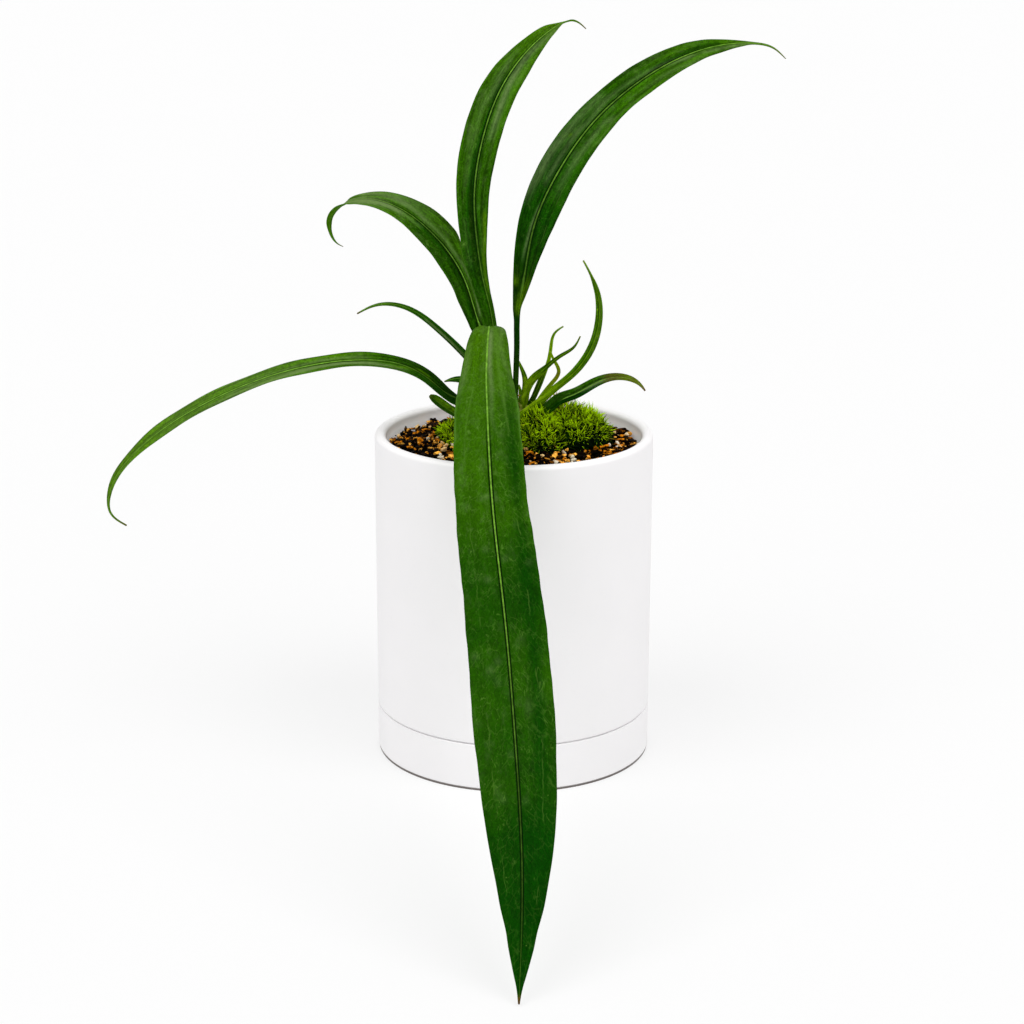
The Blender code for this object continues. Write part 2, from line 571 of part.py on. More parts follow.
def limb(name, start, way, radii, length, sides):
    """A straight round limb from start along way, with its radius at each end."""
    way = np.array(way, float) / np.linalg.norm(way)
    side = np.cross(way, (0.3, 0.9, 0.1))
    side /= np.linalg.norm(side)
    other = np.cross(way, side)
    points, faces = [], []
    for reach, radius in ((0, radii[0]), (length, radii[1])):
        for i in range(sides):
            turn = tau * i / sides
            points.append(np.array(start) + way * reach + radius * (cos(turn) * side + sin(turn) * other))
    for i in range(sides):
        j = (i + 1) % sides
        faces.append((i, j, sides + j, sides + i))
    faces += [tuple(reversed(range(sides))), tuple(range(sides, 2 * sides))]
    return add_object(name, mesh_of(name, points, faces))


def make_sheath(turn):
    """The stub of an old sheath leaning out of the crown in one direction."""
    x, y = cos(turn), sin(turn)
    start = (CROWN_PLACE[0] + SHEATH_REACH * x, CROWN_PLACE[1] + SHEATH_REACH * y, SHEATH_START)
    length = SHEATH_LENGTHS[0] + (SHEATH_LENGTHS[1] - SHEATH_LENGTHS[0]) * (turn / 2 % 1)
    way = (SHEATH_LEAN * x, SHEATH_LEAN * y, 1)
    return limb("sheath", start, way, SHEATH_RADII, length, SHEATH_SIDES)


def make_socket(name, leaf):
    """The flared space that a leaf's base stands in."""
    places, ways = smooth_line(leaf["spine"], leaf["rows"])
    length = np.linalg.norm(np.diff(places, axis=0), axis=1).sum()
    reach = np.linspace(0, min(1, SOCKET_REACH / length), SOCKET_SAMPLES)
    flats = cos(tau / 2 / SOCKET_SIDES)
    radius = (leaf["outline"][0][1] + FIT_GAP) / flats
    mouth = (max(eased(leaf["outline"], reach)) + SOCKET_FLARE) / flats
    start = places[0] - ways[0] * FIT_GAP
    return limb(name + "_socket", start, ways[0], (radius, mouth), SOCKET_REACH, SOCKET_SIDES)


def make_crown():
    """The short stem with its offset bud and old sheaths, and a socket for each leaf's base."""
    finish = material("crown_stem", (0.32, 0.36, 0.10), 0.7)
    crown = add_object("crown", turned("crown", CROWN_PROFILE, CROWN_SIDES), finish)
    crown.location = (CROWN_PLACE[0] * MM, CROWN_PLACE[1] * MM, CROWN_FOOT * MM)
    bpy.context.view_layer.update()
    combine(crown, [limb("bud", **BUD)] + [make_sheath(turn) for turn in SHEATH_TURNS], "UNION")
    combine(crown, [make_socket(name, leaf) for name, leaf in LEAVES.items()], "DIFFERENCE")
    return crown


def make_leaves():
    tones = {
        "leaf": material("leaf_green", (0.035, 0.13, 0.025), 0.42),
        "shoot": material("young_leaf_green", (0.16, 0.32, 0.03), 0.45),
        "dried": material("dried_leaf", (0.42, 0.34, 0.10), 0.7),
    }
    for name, leaf in LEAVES.items():
        add_object(name, leaf_mesh(name, leaf), tones[name.split("_")[0]])


def build():
    clear_scene()
    make_saucer()
    make_pot()
    make_mix()
    for name, moss in MOSSES.items():
        make_moss(name, moss)
    make_crown()
    make_leaves()


build()
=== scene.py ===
"""Looks of a strap-leaf anthurium in a white cylinder pot: camera, light, materials and finer forms.

Plain numbers are millimetres, degrees, or shares from 0 to 1. MM turns millimetres into metres.
"""
from math import cos, pi, radians, sin, tau

import bmesh
import bpy
import numpy as np
from mathutils import Matrix, Vector
from mathutils.bvhtree import BVHTree


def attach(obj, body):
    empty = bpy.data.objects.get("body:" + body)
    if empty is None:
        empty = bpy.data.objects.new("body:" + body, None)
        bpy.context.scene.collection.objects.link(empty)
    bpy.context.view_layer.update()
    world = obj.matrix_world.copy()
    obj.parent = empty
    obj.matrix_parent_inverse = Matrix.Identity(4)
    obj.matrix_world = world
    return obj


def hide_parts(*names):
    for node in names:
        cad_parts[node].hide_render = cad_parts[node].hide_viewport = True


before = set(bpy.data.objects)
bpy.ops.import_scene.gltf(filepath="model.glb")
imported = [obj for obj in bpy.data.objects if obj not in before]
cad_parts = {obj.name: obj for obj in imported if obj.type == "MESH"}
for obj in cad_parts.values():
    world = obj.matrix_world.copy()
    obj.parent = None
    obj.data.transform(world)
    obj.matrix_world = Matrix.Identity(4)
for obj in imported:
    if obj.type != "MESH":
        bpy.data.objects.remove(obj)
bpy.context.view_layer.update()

MM = 0.001
SEED = 5

# The camera, from a fit to the pot's rim, seam and foot.
EYE = (0.0, -1067.3, 430.6)
LOOK_DOWN = 16.465
LOOK_LEFT = 0.045
ROLL = 0.152
SENSOR = 36.0
FOCAL = 82.9
CLIP = (0.05, 60)

# Lights: how far round from the front, how high, strength, and the angle each fills.
LIGHTS = {"left": (-50, 50, 1.14, 45), "right": (50, 50, 1.14, 45)}
SKY = 0.55
FLOOR_GLOW = 0.64
FLOOR_WHITE = 0.965
FLOOR_LIGHT = 1.04
FLOOR_CLOUD = 0.004
FLOOR_REACH = 14000

# The pot and its saucer.
POT_RADIUS = 65.0
POT_HEIGHT = 155.0
POT_WALL = 5.2
SEAM_HEIGHT = 22.65
SEAM_GAP = 0.66
SEAM_EDGE = 0.5
SAUCER_WALL = 4.6
SAUCER_FLOOR = 4.0
SAUCER_EDGE = 0.8
SAUCER_HUB = 4.0
FOOT_RADIUS = 59.7
FOOT_STAND = 4.3
FOOT_RECESS = 7.3
FOOT_RING = 7.0
FOOT_BEVEL = 1.0
POT_FLOOR_TOP = 11.3
DRAIN_RADIUS = 8.0
LEDGE_RADIUS = 64.2
LEDGE_CLEAR = 0.08
FOOT_LINE = 0.95
FOOT_LINE_RADIUS = 64.7
INNER_FOOT = 54.7
INNER_CUT = 2.0
SHOULDER_RISE = 7.0
LIP_FADE = 4.0
TURNS = 192

# The glaze, with its painted shade inside under the lip, its painted glow inside and on the lip's top and
# its bare foot darkened as painted contact shade, and the spans of radius or height over which its bands
# fade in.
WHITE = (0.885, 0.872, 0.88)
LIP_SHADE = (0.6, 0.56, 0.52)
PAINTED_GLOW = (1.0, 0.97, 0.94)
CLAY_AND_SHADE = (0.13, 0.11, 0.10)
INSIDE_SPAN = (59.5, 61.2)
LIP_SHADE_SPAN = (149, 151.5)
INNER_GLOW_SPAN = (148.5, 153.5)
LIP_GLOW_SPAN = (152.6, 154.5)
CLAY_AND_SHADE_SPAN = (0.85, 1.05)

# The potting mix and what lies in it: grains in the moss and large chips, as (x, y, size, height).
MIX_LEVEL = 147.6
MIX_RADIUS = 59.5
MIX_RINGS = 84
BED_SINK = 1.6
BED_BUMP = 0.35
CROWN_PLACE = (-2.0, 9.0)
CROWN_CLEAR = 7.5
SPECKS = ((16.4, 8, 0.7, 166.4), (15, 8, 0.6, 164.2), (18.3, 10, 0.7, 167.4), (2.3, 12, 0.6, 168))
CHUNKS = ((51.5, 19, 3.2, 149.2), (47, 24, 2.6, 148.8), (-33, 38, 3.0, 148.9), (-38, 32, 2.4, 148.6),
          (-26, 42, 2.6, 148.8))
CHUNK_SCALE = (1.1, 0.75, 0.6)
CHUNK_TINT = 0.3
# Painted shade: the bark darkens to near black below this span of height, in the gaps of the mix.
GAP_SHADE_SPAN = (MIX_LEVEL - 0.7, MIX_LEVEL + 1.1)
BARK_DARK = (0.004, 0.0014, 0.0004)
BARK_WARM = (0.56, 0.18, 0.005)

# A cushion of moss: its lumps, each a centre in plan, a radius and a height, and its tufts.
# old is the centre and radius of its browned part.
MOSSES = {
    "moss_right": dict(gap=2.3, strands=20, length=5.0, old=((19.5, 14), 5),
                       lumps=((27, 9.5, 17.5, 14.2), (14.5, -5.5, 10.5, 11.5), (11, 1, 8.5, 15.5),
                              (16.5, 19, 10, 12.5), (19.5, 14, 5, 18.5), (13.5, 11, 6, 15.5))),
    "moss_left": dict(gap=1.9, strands=18, length=3.8, old=((-30, 18), 0.1),
                      lumps=((-21.5, 4, 11, 4.8), (-24.5, 13, 11, 7.5))),
}
MOSS_SHOULDER = 0.55
MOSS_TRIES = 9000
MOSS_LOWEST = 0.4
MOSS_STEEPEST = 2.2
BED_SHRINK = 0.9
BED_FLATTEN = 0.74
SLOPE_STEP = 0.4
STRAND_WIDTH = (0.17, 0.30)
STRAND_RINGS = ((0, 0.7), (0.5, 1.0), (0.82, 0.7))
STRAND_POINTS = 10
STRAND_ENDS = ((9, 6, 7), (9, 7, 8), (9, 8, 6), (2, 1, 0))

# Tones of the leaves, and how silky, how crinkled and how finely netted each look is.
LEAF_TONES = dict(dark=(0.0003, 0.010, 0.0001), deep=(0.0016, 0.040, 0.0001), mid=(0.028, 0.106, 0.0005),
                  pale=(0.085, 0.185, 0.025), painted_sheen_colour=(0.14, 0.215, 0.075), young=(0.09, 0.21, 0.0008),
                  dry=(0.16, 0.07, 0.02), rib=(0.19, 0.42, 0.04))
YOUNG_TONES = dict(dark=(0.002, 0.03, 0.0001), deep=(0.004, 0.045, 0.0001), mid=(0.022, 0.10, 0.0005),
                   pale=(0.36, 0.56, 0.01), painted_sheen_colour=(0.15, 0.25, 0.04), young=(0.20, 0.39, 0.0012),
                   dry=(0.24, 0.16, 0.008), rib=(0.13, 0.29, 0.003))
LOOKS = {"broad": ("leaf_green", dict(silk=0.10, curl=0.26, nerve=0.2, **LEAF_TONES)),
         "silky": ("leaf_green", dict(silk=0.42, curl=0.4, nerve=0.12, **LEAF_TONES)),
         "young": ("young_leaf_green", dict(silk=0.6, curl=0.3, nerve=0.0, **YOUNG_TONES))}

# A leaf: spine points from the crown to the tip, then half widths (outline), facings and other values
# at shares of its length. petiole is the share of the length before the blade opens, fold the angle
# each half rises, wave and waves the height and number of the margin's waves, rib the midrib's breadth
# and ripple the depth of the cross veins. skew shifts the midrib, and droop lowers the margins.
# tone is painted light and shade: how light the left and right halves are where the light falls on them,
# along the leaf. light is how clear the midrib is, rib_shade how dark the painted shade in the lines beside
# it is, young how yellow-green and dry how withered the leaf is. A plain list that doesn't reach from 0 to
# 1 has a zero at the end that is missing.
LEAVES = {
    "leaf_front_long": dict(
        spine=((-3, 5, 157), (-6, 5, 175), (-10, 4, 192), (-11.3, -3, 203.5), (-11.6, -14, 206),
               (-12.4, -32, 194.5), (-12, -58, 183.5), (-11, -83, 172), (-8.65, -120.02, 150.93),
               (-3.12, -168, 116.49), (1.03, -207.01, 79.97), (3.6, -240, 41), (2.45, -267.6, 0.75)),
        outline=((0, 1.9), (0.05, 2.3), (0.13, 6.6), (0.2, 10.4), (0.27, 13.6), (0.34, 14.7), (0.45, 15.44),
                 (0.6, 16.33), (0.695, 16.54), (0.765, 15.77), (0.825, 13.85), (0.903, 8.97), (0.932, 6),
                 (0.947, 4.95), (0.959, 3.85), (0.974, 2.36), (0.983, 1.4), (0.991, 0.8), (1, 0.35)),
        facing=((0, 0, 1, 0.2), (0.1, 0, 0.8, 0.5), (0.17, 0, -0.2, 1), (0.3, 0, -0.5, 1), (1, 0, -1, 0.6)),
        petiole=0.04, fold=9, wave=0.7, waves=6, rib=0.52, ripple=0.06,
        skew=((0.28, 0), (0.35, -0.03), (0.45, -0.03), (0.6, 0)),
        droop=((0.1, 0), (0.17, 3.2), (0.24, 3.2), (0.36, 1), (0.5, 0)),
        tone=((0, 1, 1), (0.24, 1, 1), (0.35, 0.55, 0.85), (0.45, 0.65, 0.7), (0.57, 0.25, 0.33),
              (0.68, 0.5, 0.4), (0.79, 0.25, 0.35), (0.88, 0, 0.08), (1, 0.02, 0.08)),
        light=((0, 1), (0.5, 1), (0.56, 0.85), (0.63, 0.7), (0.69, 0.45), (0.74, 0.45), (0.78, 0.2),
               (0.85, 0.22), (0.93, 0.15), (1, 0.2)),
        rib_shade=((0.3, 0.1), (0.36, 0.8), (0.42, 1), (0.9, 1), (1, 0.4)),
        young=((0, 0.9), (0.1, 0.4), (0.2, 0.25), (0.3, 0.1), (0.5, 0.02), (1, 0)),
        dry=((0.989, 0), (0.996, 0.7), (1, 0.9))),
    "leaf_back_left": dict(
        spine=((-5.6, 9.5, 158.5), (-9.3, 15.5, 177.5), (-13.2, 21, 191.5), (-16.7, 23.5, 200.8),
               (-23.5, 31.1, 220.4), (-37.8, 40.5, 239.3), (-49.9, 46.4, 248.6), (-62.3, 52.3, 253.6),
               (-67.3, 54, 254.5), (-72.8, 55.6, 254.5), (-78.2, 57, 253.2), (-82.2, 58, 251.3),
               (-85.8, 59, 248.9), (-88.1, 60, 246), (-89.2, 61, 242.7), (-89, 61.2, 238.5),
               (-87.7, 61, 234.8), (-85.5, 60.3, 232.2), (-82.7, 59.5, 230.8)),
        outline=((0, 1.6), (0.18, 1.7), (0.27, 4.67), (0.31, 4.8), (0.35, 5), (0.4, 5.5), (0.46, 6.95),
                 (0.52, 8.25), (0.57, 8), (0.62, 7.32), (0.67, 6.3), (0.72, 4.9), (0.76, 3.8),
                 (0.785, 3.25), (0.819, 2.5), (0.845, 2), (0.871, 1.65), (0.893, 1.6), (0.914, 1.52),
                 (0.938, 0.98), (0.961, 0.62), (0.981, 0.32), (1, 0.12)),
        facing=((0, 0.2, -1, 0.2), (0.7, 0, -0.9, 0.5), (0.785, -0.05, -0.75, 0.65),
                (0.819, -0.1, -0.6, 0.75), (0.845, -0.4, 0.11, 0.9), (0.871, -0.6, 0.7, 0.4),
                (0.893, -0.5, 0.85, 0), (0.93, -0.35, 0.95, -0.1), (1, -0.3, 0.95, -0.3)),
        petiole=0.18, fold=9, wave=0.7, waves=5, rib=0.42,
        skew=((0.27, 0.05), (0.31, 0.2), (0.35, 0.34), (0.4, 0.34), (0.46, 0.12), (0.52, -0.12),
              (0.67, -0.12), (0.72, -0.06), (0.76, 0.08), (0.785, 0.15), (0.83, 0)),
        tone=((0, 0.1, 0.2), (0.3, 0.3, 0.5), (0.45, 0.4, 0.75), (0.55, 0.35, 1.1), (0.66, 1.2, 1.45),
              (0.8, 1.5, 1.6), (0.9, 0.6, 0.6), (1, 0.3, 0.3)),
        light=((0, 1), (0.38, 1), (0.48, 0.7), (0.56, 0.4), (0.66, 0.5), (1, 0.6)),
        young=((0, 0.5), (0.2, 0.1), (0.6, 0.08), (0.8, 0.25), (0.9, 0.3), (1, 0.5)),
        dry=((0.97, 0), (1, 0.7))),
    "leaf_back_tall": dict(
        spine=((-2.3, 11.5, 159.3), (-6, 12, 180), (-9, 13, 197), (-11.1, 14, 209.7), (-14.1, 17.1, 221.3),
               (-17.2, 22, 238.1), (-18.8, 29, 261), (-15, 37, 285.6), (-4.6, 48.9, 311.2),
               (10.9, 60, 329.1), (18.8, 65.5, 334.6), (24.2, 68.5, 337), (27.6, 70, 337.3),
               (30.7, 71, 335.9), (33.6, 71.5, 333.4)),
        outline=((0, 1.4), (0.13, 1.4), (0.17, 2.6), (0.22, 3.1), (0.26, 3.5), (0.3, 4.2), (0.35, 5.5),
                 (0.4, 6.6), (0.46, 7.5), (0.52, 8.19), (0.58, 8.84), (0.63, 8.97), (0.68, 8.91),
                 (0.72, 8.5), (0.76, 7.95), (0.8, 6.75), (0.84, 5.4), (0.87, 4.4), (0.9, 3.2), (0.93, 1.6),
                 (0.95, 0.65), (0.97, 0.5), (1, 0.15)),
        facing=((0, 0, -1, 0.2), (0.9, 0.1, -0.9, 0.5), (0.94, 0, -0.2, 0.95), (0.97, 0.3, 0.8, 0.3),
                (1, 0.3, 0.8, 0.3)),
        petiole=0.1, fold=10, wave=0.6, waves=5,
        skew=((0.13, 0.1), (0.2, 0.45), (0.26, 0.5), (0.3, 0.42), (0.35, 0.36), (0.4, 0.21), (0.46, 0.11),
              (0.52, 0.1), (0.7, 0.06), (0.76, 0), (0.8, -0.06), (0.84, -0.06), (0.87, 0), (0.9, 0.08),
              (0.93, 0)),
        tone=((0, 0, 0.1), (0.3, 0.2, 0.35), (0.5, 0.5, 0.4), (0.65, 0.7, 0.65), (0.85, 0.8, 0.9),
              (1, 0.9, 1)),
        light=((0, 0.7), (0.3, 0.3), (0.4, 0.3), (0.47, 0.45), (0.55, 0.65), (0.65, 0.65), (0.8, 1), (1, 1)),
        young=((0, 0.5), (0.3, 0.08), (0.6, 0.06), (0.85, 0.2), (0.95, 0.7), (1, 1)),
        dry=((0.96, 0), (1, 0.8))),
    "leaf_back_right": dict(
        spine=((0.6, 9.5, 159), (0.8, 10.5, 178), (1.2, 12, 195.4), (1.3, 14, 205.4), (3.4, 17, 217.3),
               (9.1, 27, 246.6), (18.6, 36, 267.3), (36.7, 48, 291.9), (58.3, 59, 309.6), (87.9, 70, 323.5),
               (114.9, 78, 326.1), (123.5, 80, 324), (130, 81, 318.7)),
        outline=((0, 1.3), (0.17, 1.39), (0.2, 1.99), (0.22, 2.98), (0.25, 4.45), (0.28, 5.7), (0.32, 7.34),
                 (0.36, 8.58), (0.46, 9.92), (0.56, 9.17), (0.7, 7.77), (0.75, 7.23), (0.79, 6.3),
                 (0.83, 4.61), (0.87, 3.02), (0.9, 1.81), (0.93, 0.75), (0.96, 0.55), (1, 0.12)),
        facing=((0, 0, -1, 0.2), (1, 0, -0.9, 0.6)), petiole=0.17, fold=11, wave=0.8, waves=6,
        skew=((0.17, 0), (0.2, 0.38), (0.22, 0.28), (0.25, 0.17), (0.28, 0.08), (0.32, -0.04),
              (0.36, -0.08), (0.46, 0), (0.79, 0), (0.83, -0.01), (0.87, -0.17), (0.9, -0.2), (0.93, 0)),
        tone=((0, -0.2, -0.2), (0.25, -0.3, -0.25), (0.35, -0.05, 0), (0.45, 0.2, 0.35), (0.6, 0.45, 0.6),
              (0.8, 0.6, 0.75), (1, 0.9, 0.9)),
        light=((0, 0.3), (0.26, 0.3), (0.38, 0.38), (0.46, 0.7), (0.56, 0.65), (0.68, 0.5), (0.78, 0.9),
               (1, 1)),
        young=((0, 0.3), (0.16, 0.02), (0.22, 0.06), (0.5, 0.02), (0.85, 0.15), (1, 0.9)),
        dry=((0.95, 0), (1, 0.6))),
    "leaf_left_long": dict(
        spine=((-7.5, 6.5, 155.5), (-16, 3.5, 163.5), (-27.5, 1, 169.3), (-40.04, -2.01, 179.96),
               (-51.9, -4.91, 187), (-70.42, -9.22, 190.21), (-106.11, -17.26, 186.1),
               (-142.7, -24.94, 172.17), (-172.69, -32.06, 151.41), (-184.4, -35, 132), (-184, -35, 124.5),
               (-177, -35, 118.5)),
        outline=((0, 1.6), (0.06, 2.4), (0.12, 3.7), (0.2, 4.43), (0.3, 4.7), (0.4, 4.76), (0.5, 4.44),
                 (0.6, 4.34), (0.72, 4.4), (0.8, 3.81), (0.86, 3.49), (0.94, 1.2), (1, 0.4)),
        facing=((0, 0, -0.5, 0.9), (0.7, -0.2, -0.6, 0.8), (0.88, -0.8, -0.5, 0.3), (1, -0.6, -0.6, -0.4)),
        petiole=0.05, fold=10, wave=0.4, waves=6,
        tone=((0, 0, 0), (0.12, -0.1, -0.3), (0.25, 0.4, -0.1), (0.35, 0.9, 0.8), (0.45, 1.2, 1.3),
              (0.6, 1.5, 1.5), (0.8, 1.4, 1.4), (1, 1, 1)),
        light=((0, 0.1), (0.2, 0.25), (0.3, 0.7), (0.42, 1), (1, 1)),
        young=((0, 0.5), (0.1, 0.05), (0.3, 0.2), (0.55, 0.35), (0.8, 0.5), (1, 0.9)),
        dry=((0.96, 0), (1, 0.6))),
    "leaf_left_narrow": dict(
        spine=((-8.2, 12.8, 157), (-12, 12.3, 171), (-17, 12.5, 180.5), (-23.8, 14, 188.4),
               (-37.56, 18.91, 200.49), (-50.9, 24.07, 208.05), (-64.7, 28, 208.6), (-74.4, 30, 204)),
        outline=((0, 1.1), (0.2, 1.3), (0.35, 1.8), (0.6, 1.55), (0.8, 1.22), (1, 0.35)),
        facing=((0, 0, -0.7, 0.7), (1, -0.2, -0.6, 0.8)), petiole=0.2, fold=10, wave=0.3, waves=3,
        tone=((0, 0, 0.1), (0.3, -0.3, 0), (0.6, 0, 0.1), (1, 0.8, 0.8)),
        light=((0, 0.3), (0.4, 0.2), (0.65, 0.3), (1, 0.8)),
        young=((0, 0.3), (0.3, 0.05), (0.7, 0.1), (1, 0.5)), dry=((0.96, 0), (1, 0.8))),
    "leaf_left_stub": dict(
        spine=((-6.5, 3.5, 151.8), (-12, 0, 156), (-19, -3.5, 159.3), (-28, -6, 164.4), (-39, -9, 173.6)),
        outline=((0, 1.3), (0.2, 1.5), (0.5, 2.1), (0.85, 2.6), (0.95, 2.1), (1, 0.9)),
        facing=((0, 0, -0.7, 0.8), (1, 0.2, -0.8, 0.6)), petiole=0.15, fold=20, wave=0.2, waves=2,
        skew=((0.4, -0.25), (0.8, -0.15)), tone=((0, 0, 0.2), (0.5, -0.2, 0.4), (1, 0.1, 0.5)),
        light=((0, 0.3), (1, 0.3)), young=((0, 0.5), (0.5, 0.2), (1, 0.15)), dry=((0.95, 0), (1, 0.3))),
    "leaf_left_tip": dict(
        spine=((-4.2, 14.6, 155.5), (-10, 18, 166), (-18.4, 19.5, 172.6), (-26.3, 20.5, 174.7),
               (-33, 21.5, 173.1)),
        outline=((0, 1), (0.25, 1.7), (0.6, 2.9), (0.85, 1.7), (1, 0.35)),
        facing=((0, 0.2, -0.8, 0.6), (1, 0, -0.6, 0.8)), petiole=0.25, fold=14, wave=0.2, waves=2,
        skew=((0.3, 0.3), (0.8, 0.3)), young=((0, 0.5), (0.5, 0), (1, 0)), dry=((0.95, 0), (1, 0.3))),
    "leaf_right_upright": dict(
        spine=((2.2, 5.8, 160), (7.5, 4.9, 163.9), (12.5, 3.6, 168), (18.5, 2, 173.8),
               (27.25, -0.06, 181.79), (34.46, -1.09, 191.66), (38.48, -1.99, 202.31), (39.49, -2, 213.1),
               (37.91, -0.98, 222.29), (31.5, 1, 235.1)),
        outline=((0, 1.7), (0.15, 2.2), (0.3, 1.97), (0.45, 2.2), (0.6, 2.35), (0.75, 2.13), (0.85, 1.75),
                 (0.93, 0.8), (1, 0.35)),
        facing=((0, -0.4, -0.6, 0.7), (0.5, -0.6, -0.8, 0.3), (1, -0.8, -0.6, -0.2)),
        petiole=0.12, fold=18, wave=0.3, waves=3,
        tone=((0, 0.5, 0.2), (0.3, 0.6, 0.3), (0.5, 0.9, 0.8), (0.75, 1, 0.9), (1, 0.7, 0.5)),
        young=((0, 1), (0.15, 0.95), (0.24, 0.5), (0.36, 0.15), (0.6, 0.12), (0.85, 0.15), (1, 0.5)),
        dry=((0.96, 0), (1, 0.4))),
    "leaf_right_low": dict(
        spine=((2.6, 4.6, 155.2), (8.3, 3.2, 160.4), (15.5, 1, 163.7), (21.1, -2, 169.2),
               (28.33, -5.13, 173.52), (35.14, -8.02, 178.12), (48.8, -14.01, 183.64), (57.8, -18, 180.8),
               (59.8, -19, 178.6)),
        outline=((0, 1.6), (0.12, 2.3), (0.22, 3.2), (0.34, 3.2), (0.45, 3.1), (0.6, 2.87), (0.75, 2.21),
                 (0.88, 1.64), (0.95, 0.9), (1, 0.4)),
        facing=((0, -0.2, -0.85, 0.5), (1, 0.2, -0.7, 0.6)), petiole=0.12, fold=26, wave=0.15, waves=3,
        skew=((0.1, 0.2), (0.22, 0.38), (0.34, 0.25), (0.48, 0)),
        tone=((0, 0, -0.1), (0.3, 0.4, -0.1), (0.45, 0.55, -0.3), (0.6, 0.6, -0.1), (1, 0.6, 0.4)),
        light=((0.33, 0), (0.42, 1), (1, 1)),
        young=((0, 0.5), (0.3, 0.05), (0.6, 0), (0.75, 0.25), (0.85, 0.9), (1, 1)),
        dry=((0.66, 0), (0.74, 0.45), (0.86, 0.35), (0.95, 0.45), (1, 0.95))),
    "shoot_forked": dict(
        spine=((6.3, 14, 162.5), (9.9, 15, 168.5), (12.7, 16, 175), (15.6, 17, 182), (17.3, 18.5, 190),
               (19.1, 20, 197), (23.1, 21, 200)),
        outline=((0, 1.2), (0.3, 1.6), (0.5, 1.1), (0.75, 0.9), (1, 0.35)),
        facing=((0, -0.5, -0.9, 0.2), (1, -0.5, -0.8, 0.4)), petiole=0.1, fold=15, wave=0, waves=1,
        tone=((0, -0.2, 0), (0.4, -0.2, 0.1), (0.6, 0.5, 0.5), (1, 0.1, 0.2)),
        young=((0, 0.1), (0.35, 0.2), (0.5, 1), (0.75, 0.9), (0.88, 0.3), (1, 0.4)),
        dry=((0.94, 0), (1, 0.4))),
    "dried_tendril": dict(
        spine=((8.5, 11.5, 162.5), (14.2, 11, 170.6), (17.8, 11.5, 175), (20.9, 12.5, 180.2),
               (18.2, 12.5, 186.5), (17, 12.5, 190)),
        outline=((0, 0.8), (0.4, 1), (0.8, 0.8), (1, 0.35)),
        facing=((0, -0.3, -0.9, 0.3), (1, 0.3, -0.9, 0.3)), petiole=0.05, fold=10, wave=0.2, waves=4,
        young=((0, 1), (1, 1)), dry=((0, 0.1), (0.4, 0.1), (0.6, 0.6), (0.8, 0.2), (1, 0.1))),
    "shoot_curved": dict(
        spine=((4.2, 12, 162.5), (5.6, 11.5, 170), (8.6, 11, 176.3), (13, 10, 180.9), (22.4, 7, 189.4),
               (27.9, 5, 193.7), (30.6, 4, 199)),
        outline=((0, 1.3), (0.16, 2.3), (0.36, 2.1), (0.55, 1.2), (0.8, 0.85), (1, 0.3)),
        facing=((0, -0.5, -0.9, 0.3), (1, -0.4, -0.8, 0.5)), petiole=0.1, fold=18, wave=0.2, waves=2,
        tone=((0, 0.5, 0.5), (0.4, 0.4, -0.1), (0.6, 0, -0.4), (1, 0.3, -0.3)),
        young=((0, 1), (0.25, 0.9), (0.38, 0.4), (0.5, 0.1), (1, 0.1)), dry=((0.94, 0), (1, 0.4))),
    "shoot_inner": dict(
        spine=((3.6, 15.8, 162.5), (4.9, 16.5, 169), (4.9, 18, 176), (3.5, 19, 180), (1.5, 20, 184.7)),
        outline=((0, 1.1), (0.3, 1.7), (0.7, 1.1), (1, 0.35)),
        facing=((0, 0.2, -0.9, 0.2), (1, 0.3, -0.9, 0.3)), petiole=0.1, fold=18, wave=0, waves=1,
        tone=((0, 0.3, 0.6), (0.5, 0.1, 0.6), (1, 0.3, 0.6)),
        young=((0, 0.6), (0.3, 0.25), (0.6, 0.15), (1, 0.3)), dry=((0.94, 0), (1, 0.4))),
    "shoot_bud": dict(
        spine=((1.6, 16.8, 159.5), (3.2, 19.6, 165.6), (2.2, 21.5, 171.7)),
        outline=((0, 1), (0.4, 1.4), (1, 0.4)), facing=((0, 0.2, -0.9, 0.2), (1, 0.2, -0.9, 0.2)),
        petiole=0.1, fold=16, wave=0, waves=1, young=((0, 1), (1, 0.5)), dry=((0.94, 0), (1, 0.4))),
}
